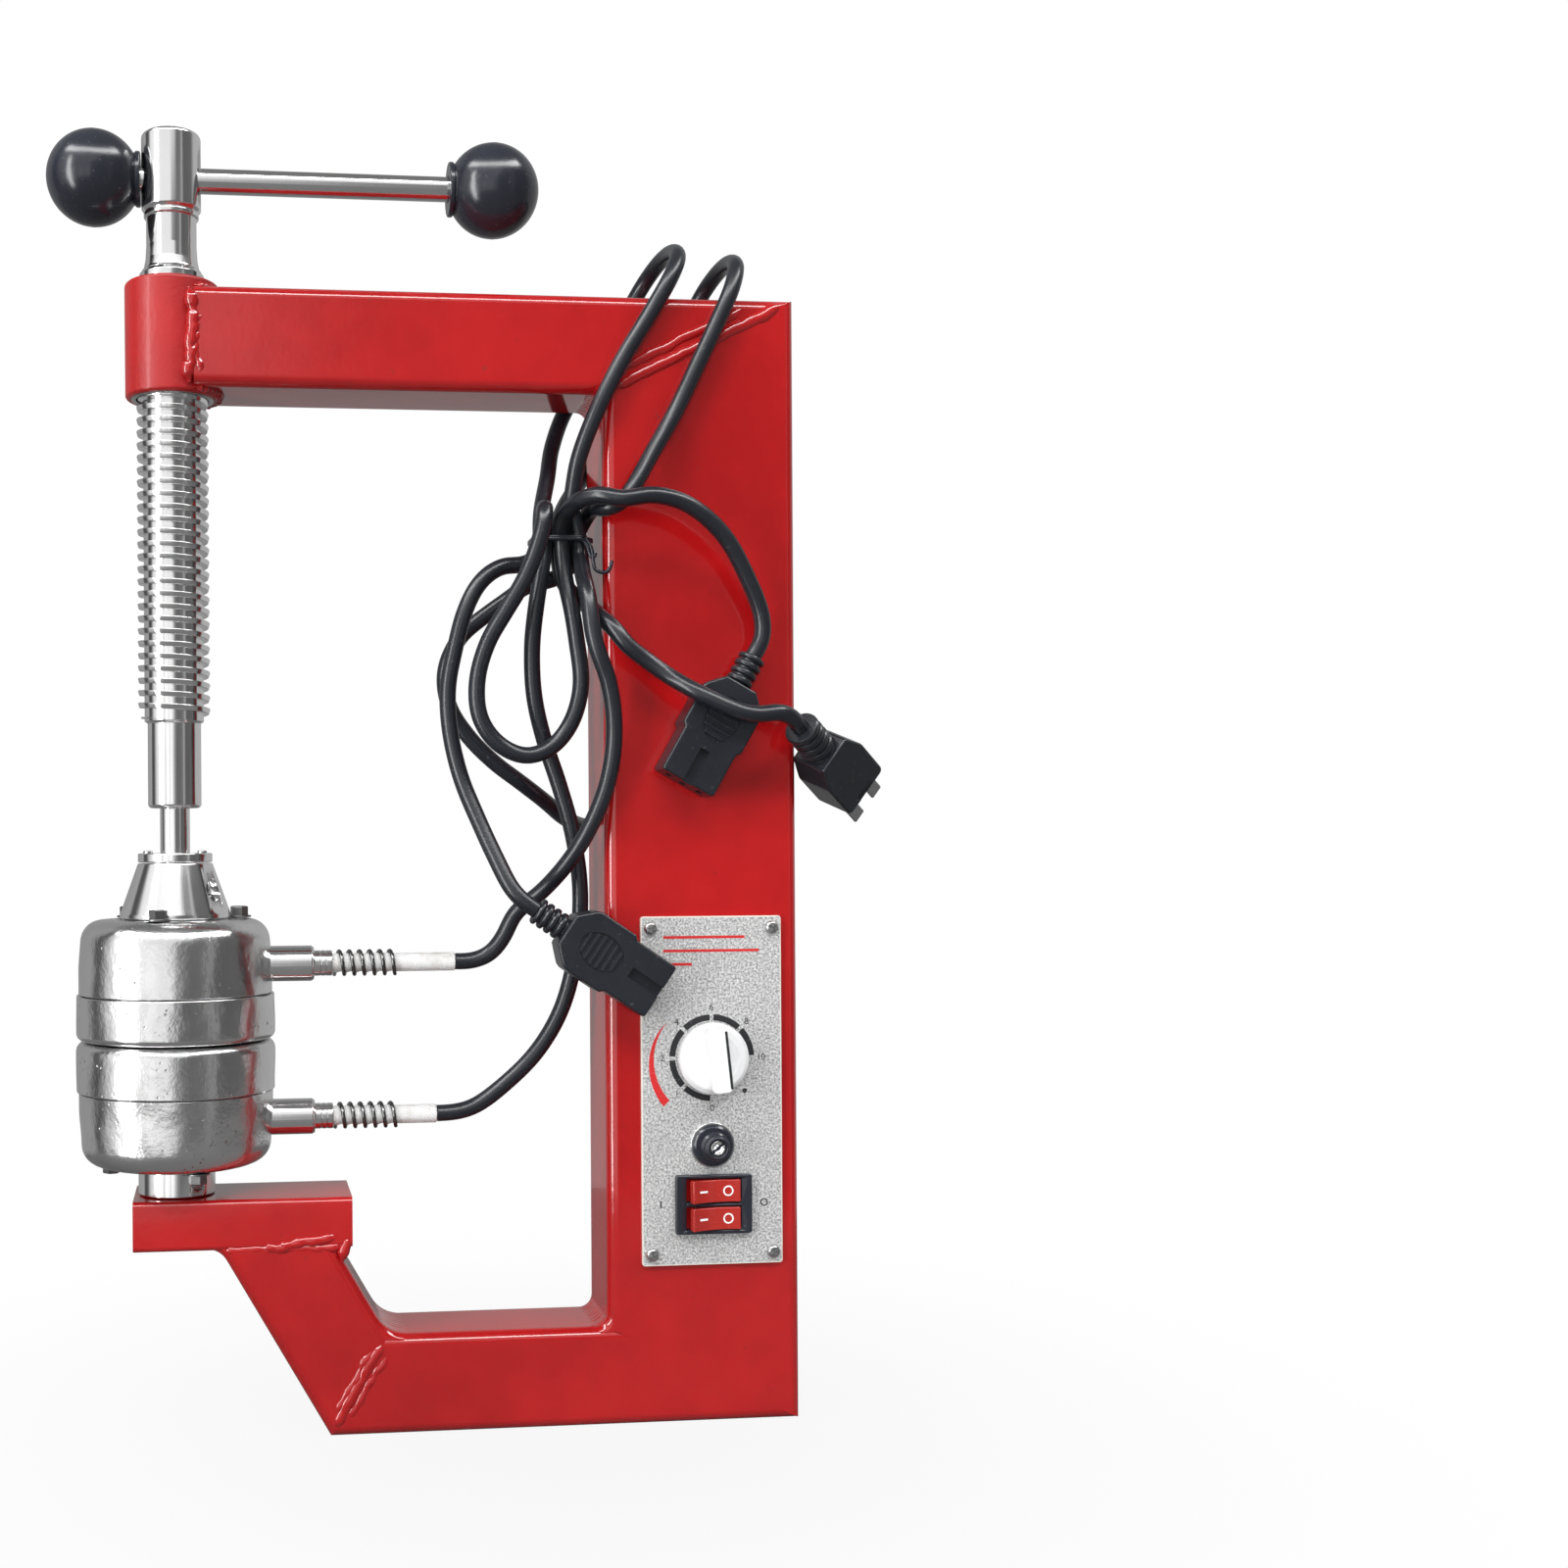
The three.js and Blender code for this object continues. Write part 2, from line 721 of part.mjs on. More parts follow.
function addSpindle() {
  const flangeTop = footTop - flangeDepth;
  const flangeBottom = flangeTop - flangeHeight;
  const lower = turned([
    [0, flangeBottom - pivotLength],
    [pivotRadius, flangeBottom - pivotLength],
    [pivotRadius, flangeBottom],
    [flangeRadius, flangeBottom],
    [flangeRadius, flangeTop],
    [neckRadius, flangeTop],
    [neckRadius, neckTop],
    [plainRadius - plainChamfer, neckTop],
    [plainRadius, neckTop + plainChamfer],
    [plainRadius, threadBottom + threadRunout],
    [0, threadBottom + threadRunout],
  ]);
  const thread = threadedRod(
    threadRootRadius,
    threadCrestRadius,
    threadCrestLand,
    threadFlank,
    threadOrigin,
    collarBottom + 2 * threadPitch,
  );
  const trimRadius = threadCrestRadius + overrun;
  const trim = turned(
    [
      [0, threadBottom],
      [threadRootRadius - seatGap, threadBottom],
      [trimRadius, threadBottom + threadRunout],
      [trimRadius, collarBottom - threadRunout],
      [threadRootRadius - seatGap, collarBottom],
      [threadRootRadius - seatGap, collarBottom + threadRunout],
      [0, collarBottom + threadRunout],
    ],
    threadSides,
  );
  const collarTop = collarBottom + collarHeight;
  const upper = turned([
    [0, collarBottom],
    [collarRadius - collarChamfer / 2, collarBottom],
    [collarRadius, collarBottom + collarChamfer],
    [collarRadius, collarTop],
    [upperNeckRadius, collarTop + flareHeight],
    [upperNeckRadius, hubFoot],
    [hubRadius, hubFoot + hubChamfer],
    [hubRadius, hubFoot + hubHeight - hubChamfer],
    [hubRadius - hubChamfer, hubFoot + hubHeight],
    [0, hubFoot + hubHeight],
  ]);
  const barHole = rod(barRadius + barHoleClearance, -hubRadius - overrun, hubRadius + overrun)
    .rotateY(Math.PI / 2)
    .translate(0, 0, barHeight);
  const spindle = join(lower, common(thread, trim), cut(upper, barHole));
  addPiece(onScrewAxis, "screw_spindle", spindle, chrome);
}

function addTommyBar() {
  const ballGap = ballCollarReach + hubRadius + seatGap;
  const barEnd = ballCollarReach - ballBoreDepth + seatGap;
  const leftEnd = -ballGap + barEnd;
  const rightEnd = rightBallOffset - barEnd;
  const bar = rod(barRadius, leftEnd, rightEnd).rotateY(Math.PI / 2);
  addPiece(onScrewAxis, "tommy_bar", bar, chrome, 0, 0, barHeight);
  const collarStart = Math.sqrt(ballRadius ** 2 - ballCollarRadius ** 2);
  const profile = [];
  for (let i = 0; i <= ballSteps; i++) {
    const polar = Math.PI - (Math.PI - Math.atan2(ballCollarRadius, collarStart)) * (i / ballSteps);
    profile.push([ballRadius * Math.sin(polar), ballRadius * Math.cos(polar)]);
  }
  profile[0][0] = 0;
  const boreRadius = barRadius + barHoleClearance;
  const boreEnd = ballCollarReach - ballBoreDepth;
  profile.push(
    [ballCollarRadius, ballCollarReach],
    [boreRadius, ballCollarReach],
    [boreRadius, boreEnd],
    [0, boreEnd],
  );
  const leftBall = turned(profile).rotateY(Math.PI / 2);
  const rightBall = turned(profile).rotateY(-Math.PI / 2);
  addPiece(onScrewAxis, "ball_knob_left", leftBall, blackPlastic, -ballGap, 0, barHeight);
  addPiece(onScrewAxis, "ball_knob_right", rightBall, blackPlastic, rightBallOffset, 0, barHeight);
}

// Heater heads

function boltAngles(firstDegrees) {
  return [0, 1, 2].map((i) => THREE.MathUtils.degToRad(firstDegrees) + (i * 2 * Math.PI) / 3);
}

function boltHoles(angles, bottom, top) {
  return angles.map((angle) =>
    rod(boltShankRadius + boltHoleClearance, bottom, top, screwSides).translate(
      boltCircle * Math.cos(angle),
      boltCircle * Math.sin(angle),
      0,
    ),
  );
}

// The spring's centre line, a helix about X.
class Helix extends THREE.Curve {
  constructor(radius, length, coils) {
    super();
    Object.assign(this, { radius, length, coils });
  }
  getPoint(t, target = new THREE.Vector3()) {
    const angle = 2 * Math.PI * this.coils * t;
    return target.set(
      this.length * t,
      this.radius * Math.cos(angle),
      this.radius * Math.sin(angle),
    );
  }
}

function circleShape(radius, sides) {
  const points = [];
  for (let i = 0; i < sides; i++) {
    const angle = (2 * Math.PI * i) / sides;
    points.push(new THREE.Vector2(radius * Math.cos(angle), radius * Math.sin(angle)));
  }
  return new THREE.Shape(points);
}

function tubeAlong(path, radius, sides, steps) {
  return new THREE.ExtrudeGeometry(circleShape(radius, sides), {
    steps,
    extrudePath: path,
    bevelEnabled: false,
  });
}

// Least distance between two stretches of one tube that are not neighbours along it.
function leastGap(path, radius, steps, apart) {
  const points = path.getSpacedPoints(steps);
  const reach = path.getLength() / steps;
  let least = Infinity;
  for (let i = 0; i < points.length; i++) {
    for (let j = i + Math.ceil(apart / reach); j < points.length; j++) {
      least = Math.min(least, points[i].distanceTo(points[j]));
    }
  }
  return least - 2 * radius;
}

// One head in a frame whose Z runs from the working face into the cover.
function heaterHead(prefix, group, sizes) {
  const { plateThickness, coverHeight, glandHeight, sleeveReach, angles } = sizes;
  const plate = turned(
    [
      [0, 0],
      [plateRadius - plateEdge, 0],
      [plateRadius - plateEdge * (1 - Math.SQRT1_2), plateEdge * (1 - Math.SQRT1_2)],
      [plateRadius, plateEdge],
      [plateRadius, plateThickness],
      [0, plateThickness],
    ],
    headSides,
  );
  const plateBottom = plateThickness - boltBite - seatGap;
  addPiece(
    group,
    prefix + "_heating_plate",
    cut(plate, ...boltHoles(angles, plateBottom, plateThickness + overrun)),
    castAluminium,
  );

  const elementBottom = plateThickness + seatGap;
  const elementTop = elementBottom + elementThickness;
  const element = turnedRing([
    [discBore, elementBottom],
    [elementRadius, elementBottom],
    [elementRadius, elementTop],
    [discBore, elementTop],
  ]);
  const elementHoles = boltHoles(angles, elementBottom - overrun, elementTop + overrun);
  addPiece(group, prefix + "_heater_element", cut(element, ...elementHoles), mica);

  const discBottom = elementTop + seatGap;
  const discTop = discBottom + insulationThickness;
  const disc = turnedRing([
    [discBore, discBottom],
    [insulationRadius, discBottom],
    [insulationRadius, discTop],
    [discBore, discTop],
  ]);
  addPiece(
    group,
    prefix + "_insulation_disc",
    cut(disc, ...boltHoles(angles, discBottom - overrun, discTop + overrun)),
    ceramicFibre,
  );

  const coverBottom = plateThickness + seatGap;
  const coverTop = coverBottom + coverHeight;
  const shoulder = [];
  for (let i = 0; i <= shoulderSteps; i++) {
    const angle = (i / shoulderSteps) * (Math.PI / 2);
    shoulder.push([
      coverCrownRadius - coverShoulder * (1 - Math.cos(angle)),
      coverTop - coverShoulder * (1 - Math.sin(angle)),
    ]);
  }
  const innerTop = coverTop - coverCrownThickness;
  const coverBore = spigotRadius + spigotClearance;
  const cover = turnedRing(
    [
      [coverRimRadius - coverWall, coverBottom],
      [coverRimRadius, coverBottom],
      ...shoulder,
      [coverBore, coverTop],
      [coverBore, innerTop],
      [coverCrownRadius - coverShoulder, innerTop],
      [coverCrownRadius - coverWall, innerTop - coverShoulder + coverWall],
    ],
    headSides,
  );
  const glandHole = rod(glandRadius + seatGap, 0, plateRadius + overrun)
    .rotateY(Math.PI / 2)
    .translate(0, 0, glandHeight);
  addPiece(
    group,
    prefix + "_cover",
    cut(cover, glandHole, ...boltHoles(angles, innerTop - overrun, coverTop + overrun)),
    castAluminium,
  );

  angles.forEach((angle, i) => {
    const seat = coverTop + seatGap;
    const head = turned(
      [
        [0, seat],
        [boltHeadAcross / 2, seat],
        [boltHeadAcross / 2, seat + boltHeadHeight],
        [0, seat + boltHeadHeight],
      ],
      hexSides,
    );
    const shank = rod(boltShankRadius, plateThickness - boltBite, seat + overrun, screwSides);
    const place = [boltCircle * Math.cos(angle), boltCircle * Math.sin(angle)];
    addPiece(group, prefix + "_cover_bolt_" + (i + 1), join(head, shank), steel, ...place);
  });

  const coverSide = coverCrownRadius;
  const collarStart = coverSide + glandLength;
  const collarEnd = collarStart + glandCollarLength;
  const glandBore = sleeveRadius + sleeveClearance;
  const gland = turnedRing([
    [glandBore, coverSide - glandInside],
    [glandRadius, coverSide - glandInside],
    [glandRadius, collarStart],
    [glandCollarRadius, collarStart],
    [glandCollarRadius, collarEnd],
    [glandBore, collarEnd],
  ]).rotateY(Math.PI / 2);
  addPiece(group, prefix + "_cable_gland", gland, chrome, 0, 0, glandHeight);
  const sleeve = rod(
    sleeveRadius,
    coverSide - glandInside - sleeveInside,
    collarEnd + sleeveReach,
  ).rotateY(Math.PI / 2);
  addPiece(group, prefix + "_relief_sleeve", sleeve, whiteSleeve, 0, 0, glandHeight);

  const coil = new Helix(springRadius, springLength, springCoils);
  const spring = tubeAlong(coil, springWire, wireSides, springCoils * wireStepsPerCoil);
  const springStart = collarEnd + springWire + seatGap;
  addPiece(group, prefix + "_relief_spring", spring, steel, springStart, 0, glandHeight);
  return coil;
}

function addHeads() {
  const upper = new THREE.Group();
  upper.position.z = upperFace;
  onScrewAxis.add(upper);
  const coil = heaterHead("upper", upper, {
    plateThickness: upperPlateThickness,
    coverHeight: upperCoverHeight,
    glandHeight: upperGlandHeight,
    sleeveReach: upperSleeveReach,
    angles: boltAngles(upperBoltDegrees),
  });
  const lower = new THREE.Group();
  lower.position.z = workingFace;
  lower.rotation.x = Math.PI;
  onScrewAxis.add(lower);
  heaterHead("lower", lower, {
    plateThickness: lowerPlateThickness,
    coverHeight: lowerCoverHeight,
    glandHeight: lowerGlandHeight,
    sleeveReach: lowerSleeveReach,
    angles: boltAngles(-lowerBoltDegrees),
  });
  const steps = springCoils * wireStepsPerCoil * wireSides;
  const gap = leastGap(coil, springWire, steps, Math.PI * springRadius);
  console.log("relief spring: least gap between its coils", gap.toFixed(2), "mm");
}

// Foot that swivels on the spindle's end and presses the upper head down.
function addFoot() {
  const spindleEnd = footTop - flangeDepth - flangeHeight - pivotLength;
  const socketRadius = flangeRadius + footSocketClearance;
  const socketFloor = Math.min(spindleEnd - seatGap, footBottom + footFloor);
  const spigotEnd = footBottom - coverCrownThickness;
  const cone = turned(
    [
      [0, spigotEnd],
      [spigotRadius, spigotEnd],
      [spigotRadius, footBottom],
      [footBaseRadius, footBottom],
      [footTopRadius, footTop],
      [socketRadius, footTop],
      [socketRadius, socketFloor],
      [0, socketFloor],
    ],
    headSides,
  );
  const turn = THREE.MathUtils.degToRad(setScrewDegrees);
  const screwPlace = (geometry) =>
    geometry
      .rotateY(Math.PI / 2)
      .rotateZ(turn)
      .translate(0, 0, footBottom + setScrewHeight);
  const screwHole = screwPlace(rod(setScrewRadius + seatGap, 0, footBaseRadius + overrun));
  addPiece(onScrewAxis, "pressure_foot", cut(cone, screwHole), chrome);

  const keeper = turnedRing([
    [neckRadius + keeperClearance, 0],
    [footTopRadius, 0],
    [footTopRadius, keeperThickness],
    [neckRadius + keeperClearance, keeperThickness],
  ]);
  const mouth = box(
    2 * (neckRadius + keeperClearance),
    footTopRadius + overrun,
    keeperThickness + 2 * overrun,
    0,
    (footTopRadius + overrun) / 2,
    keeperThickness / 2,
  );
  addPiece(onScrewAxis, "foot_keeper_ring", cut(keeper, mouth), chrome, 0, 0, footTop + seatGap);

  const tip = pivotRadius + seatGap;
  const screw = rod(setScrewRadius, tip, tip + setScrewLength);
  const socket = turned(
    [
      [0, tip + setScrewLength - setScrewHexDepth],
      [setScrewHex, tip + setScrewLength - setScrewHexDepth],
      [setScrewHex, tip + setScrewLength + overrun],
      [0, tip + setScrewLength + overrun],
    ],
    hexSides,
  );
  addPiece(onScrewAxis, "foot_set_screw", screwPlace(cut(screw, socket)), steel);
}

function addPost() {
  const postBottom = anvilTop + seatGap;
  const postTop = postBottom + postHeight;
  const post = turned([
    [0, postBottom - postSpigotLength],
    [postSpigotRadius, postBottom - postSpigotLength],
    [postSpigotRadius, postBottom],
    [postRadius, postBottom],
    [postRadius, postTop],
    [spigotRadius, postTop],
    [spigotRadius, postTop + seatGap + coverCrownThickness],
    [0, postTop + seatGap + coverCrownThickness],
  ]);
  addPiece(onScrewAxis, "lower_post", post, chrome);
}

// Control panel

function panelScrewPlaces() {
  const x = panelWidth / 2 - panelScrewInset;
  const z = panelHeight / 2 - panelScrewDrop;
  return [
    [panelX - x, panelMiddle + z],
    [panelX + x, panelMiddle + z],
    [panelX - x, panelMiddle - z],
    [panelX + x, panelMiddle - z],
  ];
}

// Turns a form built along +Z so that it points out of the panel, along -Y.
function outOfPanel(geometry) {
  return geometry.rotateX(Math.PI / 2);
}

function addPanel() {
  const plate = outOfPanel(roundedPlate(panelWidth, panelHeight, panelThickness, panelCorner));
  plate.translate(panelX, panelFront + panelThickness, panelMiddle);
  const through = (radius, x, z, sides) =>
    outOfPanel(rod(radius, -overrun, panelThickness + overrun, sides)).translate(
      x,
      panelFront + panelThickness,
      z,
    );
  const switchHole = box(
    switchBodyWidth + 2 * seatGap,
    panelThickness + 2 * overrun,
    switchBodyHeight + 2 * seatGap,
    panelX,
    panelFront + panelThickness / 2,
    switchHeight,
  );
  const screwHoles = panelScrewPlaces().map(([x, z]) =>
    through(panelScrewShank + seatGap, x, z, screwSides),
  );
  const panel = cut(
    plate,
    switchHole,
    through(timerBossRadius + seatGap, panelX, timerHeight, smallSides),
    through(fuseBodyRadius + seatGap, panelX, fuseHeight, smallSides),
    ...screwHoles,
  );
  addPiece(vulcanizer, "panel_plate", panel, silverPlate);

  panelScrewPlaces().forEach(([x, z], i) => {
    const screw = outOfPanel(
      turned(
        [
          [0, -panelScrewLength],
          [panelScrewShank, -panelScrewLength],
          [panelScrewShank, 0],
          [panelScrewHead, 0],
          [panelScrewHead, panelScrewHeadHeight / 2],
          [panelScrewHead * panelScrewCrownShare, panelScrewHeadHeight],
          [0, panelScrewHeadHeight],
        ],
        screwSides,
      ),
    );
    addPiece(vulcanizer, "panel_screw_" + (i + 1), screw, steel, x, panelFront - seatGap, z);
  });
}

function addTimer() {
  const backOfPanel = panelFront + panelThickness;
  const body = box(
    timerBodySide,
    timerBodyDepth,
    timerBodySide,
    0,
    seatGap + timerBodyDepth / 2,
    0,
  );
  const bossEnd = panelThickness + timerBossReach;
  const boss = outOfPanel(rod(timerBossRadius, -seatGap - overrun, bossEnd));
  const boreEnd = -seatGap - shaftDepth - seatGap;
  const bore = outOfPanel(rod(shaftRadius + seatGap, boreEnd, bossEnd + overrun));
  const timer = cut(join(body, boss), bore);
  addPiece(vulcanizer, "timer_body", timer, fibreBoard, panelX, backOfPanel, timerHeight);

  const discBack = knobStandOff;
  const discFront = discBack + knobDisc;
  const disc = turned(
    [
      [0, discBack],
      [knobRadius, discBack],
      [knobRadius, discFront - knobEdge],
      [knobRadius - knobEdge, discFront],
      [0, discFront],
    ],
    turnedSides,
  );
  const barLength = 2 * (knobRadius - knobEdge);
  const bar = prism(
    [
      [-knobBarWidth / 2, discFront - overrun],
      [knobBarWidth / 2, discFront - overrun],
      [knobBarWidth / 2 - knobBarTaper, discFront + knobBarHeight],
      [-knobBarWidth / 2 + knobBarTaper, discFront + knobBarHeight],
    ],
    barLength,
  )
    .translate(0, 0, -barLength / 2)
    .rotateX(Math.PI / 2);
  const shaft = rod(shaftRadius, -panelThickness - seatGap - shaftDepth, discFront);
  const socket = rod(timerBossRadius + seatGap, discBack - overrun, discBack + knobSocketDepth);
  const knob = join(cut(join(disc, bar), socket), shaft);
  addPiece(vulcanizer, "timer_knob", outOfPanel(knob), knobPlastic, panelX, panelFront, timerHeight);
}

function addFuse() {
  const flangeBack = seatGap;
  const flangeFront = flangeBack + fuseFlangeHeight;
  const capBack = flangeFront + seatGap;
  const fuseFront = capBack + fuseCapSocket - seatGap;
  const boreEnd = fuseFront - fuseLength - seatGap;
  const addOnPanel = (name, form, look) =>
    addPiece(vulcanizer, name, outOfPanel(form), look, panelX, panelFront, fuseHeight);
  const holder = turned(
    [
      [0, -fuseBodyDepth],
      [fuseBodyRadius, -fuseBodyDepth],
      [fuseBodyRadius, flangeBack],
      [fuseFlangeRadius, flangeBack],
      [fuseFlangeRadius, flangeFront],
      [fuseBoreRadius, flangeFront],
      [fuseBoreRadius, boreEnd],
      [0, boreEnd],
    ],
    smallSides,
  );
  addOnPanel("fuse_holder", holder, blackPlastic);

  const cap = turned(
    [
      [0, capBack + fuseCapSocket],
      [fuseRadius + seatGap, capBack + fuseCapSocket],
      [fuseRadius + seatGap, capBack],
      [fuseCapRadius, capBack],
      [fuseCapRadius, capBack + fuseCapHeight - knobEdge],
      [fuseCapRadius - knobEdge, capBack + fuseCapHeight],
      [0, capBack + fuseCapHeight],
    ],
    smallSides,
  );
  const slotLength = 2 * (fuseCapRadius + overrun);
  const slot = box(slotLength, fuseCapSlot, 2 * fuseCapSlot, 0, 0, capBack + fuseCapHeight);
  addOnPanel("fuse_cap", cut(cap, slot), blackPlastic);
  addOnPanel("fuse_tube", rod(fuseRadius, fuseFront - fuseLength, fuseFront), fuseGlass);
}

// Switch: a bezel and body with two pockets, a rocker pivoting in each about an upright pin.
function addSwitch() {
  const bezel = roundedPlate(bezelWidth, bezelHeight, bezelThickness, bezelCorner);
  bezel.translate(0, 0, seatGap);
  const body = box(
    switchBodyWidth,
    switchBodyHeight,
    switchBodyDepth + overrun,
    0,
    0,
    (overrun - switchBodyDepth) / 2,
  );
  const face = seatGap + bezelThickness;
  const pivot = face - rockerPivotDepth;
  const pocketWidth = rockerWidth + 2 * rockerPocketClearance;
  const rows = [rockerSpacing / 2, -rockerSpacing / 2];
  const pockets = rows.map((y) =>
    box(
      pocketWidth,
      rockerHeight + 2 * seatGap,
      rockerPocketDepth + overrun,
      0,
      y,
      face - (rockerPocketDepth - overrun) / 2,
    ),
  );
  const pinLength = 2 * (rockerPinReach + seatGap) + rockerHeight;
  const pinHoles = rows.map((y) =>
    rod(rockerPinRadius + seatGap, -pinLength / 2 - seatGap, pinLength / 2 + seatGap, screwSides)
      .rotateX(Math.PI / 2)
      .translate(0, y, pivot),
  );
  const blades = [-1, 0, 1].flatMap((column) =>
    rows.map((y) =>
      box(
        bladeWidth,
        bladeThickness,
        bladeLength + overrun,
        column * bladePitchShare * switchBodyWidth,
        y,
        -switchBodyDepth - (bladeLength - overrun) / 2,
      ),
    ),
  );
  const housing = join(cut(join(bezel, body), ...pockets, ...pinHoles), ...blades);
  const addOnPanel = (name, form, look) =>
    addPiece(vulcanizer, name, outOfPanel(form), look, panelX, panelFront, switchHeight);
  addOnPanel("switch_housing", housing, blackPlastic);

  const half = rockerWidth / 2;
  const outline = [
    [half, rockerMiddle + rockerDish],
    [0, rockerMiddle],
    [-half, rockerMiddle + rockerDish],
    [-half, 0],
    [-half + rockerBack, -rockerBack],
    [half - rockerBack, -rockerBack],
    [half, 0],
  ];
  const names = ["rocker_upper", "rocker_lower"];
  rows.forEach((y, i) => {
    const rocker = prism(outline, rockerHeight).translate(0, 0, -rockerHeight / 2);
    const pinHalf = rockerHeight / 2 + rockerPinReach;
    const pin = rod(rockerPinRadius, -pinHalf, pinHalf, screwSides);
    const form = join(rocker, pin)
      .rotateZ(-THREE.MathUtils.degToRad(rockerTiltDegrees))
      .rotateX(Math.PI / 2)
      .translate(0, y, pivot);
    addOnPanel(names[i], form, rockerRed);
  });
}

// Back of the column

function inletHeights() {
  return [lowerInletHeight + inletSpacing, lowerInletHeight];
}

// Turns a form built along +Z so that it points out of the column's back, along +Y.
function outOfBack(geometry) {
  return geometry.rotateX(-Math.PI / 2);
}

function cornerCutOutline(width, height, corner) {
  return [
    [-width / 2, -height / 2],
    [width / 2, -height / 2],
    [width / 2, height / 2 - corner],
    [width / 2 - corner, height / 2],
    [-width / 2 + corner, height / 2],
    [-width / 2, height / 2 - corner],
  ];
}

function addInlets() {
  const names = ["upper_heater_inlet", "lower_heater_inlet"];
  inletHeights().forEach((z, i) => {
    const flange = roundedPlate(
      inletFlangeWidth,
      inletFlangeHeight,
      inletFlangeThickness,
      bezelCorner,
    ).translate(0, 0, seatGap);
    const body = box(
      inletBodyWidth,
      inletBodyHeight,
      inletBodyDepth + overrun,
      0,
      0,
      (overrun - inletBodyDepth) / 2,
    );
    const mouth = seatGap + inletFlangeThickness;
    const cavity = prism(
      cornerCutOutline(inletCavityWidth, inletCavityHeight, inletCorner),
      inletCavityDepth + overrun,
    ).translate(0, 0, mouth - inletCavityDepth);
    const pins = [-1, 0, 1].map((side) =>
      box(
        pinThickness,
        pinWidth,
        inletCavityDepth - pinInset + overrun,
        side * pinSpacing,
        side === 0 ? pinRise : -pinRise,
        mouth - pinInset - (inletCavityDepth - pinInset + overrun) / 2,
      ),
    );
    const terminals = [-1, 0, 1].map((side) =>
      box(
        bladeThickness,
        bladeWidth,
        bladeLength + overrun,
        side * pinSpacing,
        0,
        -inletBodyDepth - (bladeLength - overrun) / 2,
      ),
    );
    const inlet = join(cut(join(flange, body), cavity), ...pins, ...terminals);
    addPiece(vulcanizer, names[i], outOfBack(inlet), blackPlastic, columnX, tubeSide / 2, z);
  });
}

function addMainsGland() {
  const flange = seatGap + mainsGlandFlange;
  const nose = flange + mainsGlandNose;
  const bore = cordRadius + seatGap;
  const gland = turnedRing(
    [
      [bore, -mainsGlandThreadLength],
      [mainsGlandThreadRadius, -mainsGlandThreadLength],
      [mainsGlandThreadRadius, seatGap],
      [mainsGlandRadius, seatGap],
      [mainsGlandRadius, flange],
      [mainsGlandNoseRadius + overrun, flange],
      [mainsGlandNoseRadius, nose],
      [bore, nose],
    ],
    smallSides,
  );
  const place = [columnX, tubeSide / 2, mainsGlandHeight];
  addPiece(vulcanizer, "mains_gland", outOfBack(gland), blackPlastic, ...place);
}

// Cords
// Each route runs from the fixed end, through the tie twice or more, to the connector or plug.

const upperHeaterRoute = [
  [-43, 0, 188.6], [-36.5, 0, 188.7], [-29, -0.8, 191.5], [-23.6, -2.3, 198], [-18.5, -5, 208.5],
  [-8.7, -10, 217.1], [1.5, -17, 229.6], [9.7, -23, 244.3], [16, -26, 261.3], [18.5, -28, 280.9],
  [15.9, -31.5, 300.3], [9.5, -34, 317.6], [7.6, -30.4, 336], [7.5, -20.5, 346], [7.9, -13.2, 354],
  [7.9, -11.8, 361], [6.5, -12.2, 367.3], [4.1, -13.4, 373.5], [4.6, -16, 381.4], [6, -20, 392.6],
  [12, -24.5, 409.6], [22.9, -25, 431.5], [35.2, -25, 451.7], [43.8, -24.8, 466.7],
  [48.2, -18, 476.5], [49.5, -4, 483], [48, 11, 484], [43.5, 22.5, 478], [36.5, 27, 465],
  [30, 27, 450.4], [19.1, 27, 437.4], [9.2, 25, 423.1], [2.1, 19, 405.6], [-1.5, 10, 391],
  [-5.6, 1, 376], [-6.9, -4, 368], [-7, -4.4, 361], [-9.7, -5.2, 354.5], [-15.9, -7, 351.6],
  [-22.6, -9, 351], [-29, -10.5, 347.8], [-34.6, -11.5, 342], [-40, -13, 331.2],
  [-44.2, -14, 315.9], [-47.1, -14, 300.4], [-46.4, -14, 283.3], [-42.3, -15.5, 264.2],
  [-36.2, -20, 247.5], [-29.2, -25.5, 230.5], [-23.6, -29.4, 218.8], [-19.2, -30.4, 214],
  [-14.2, -30.4, 210.6],
];

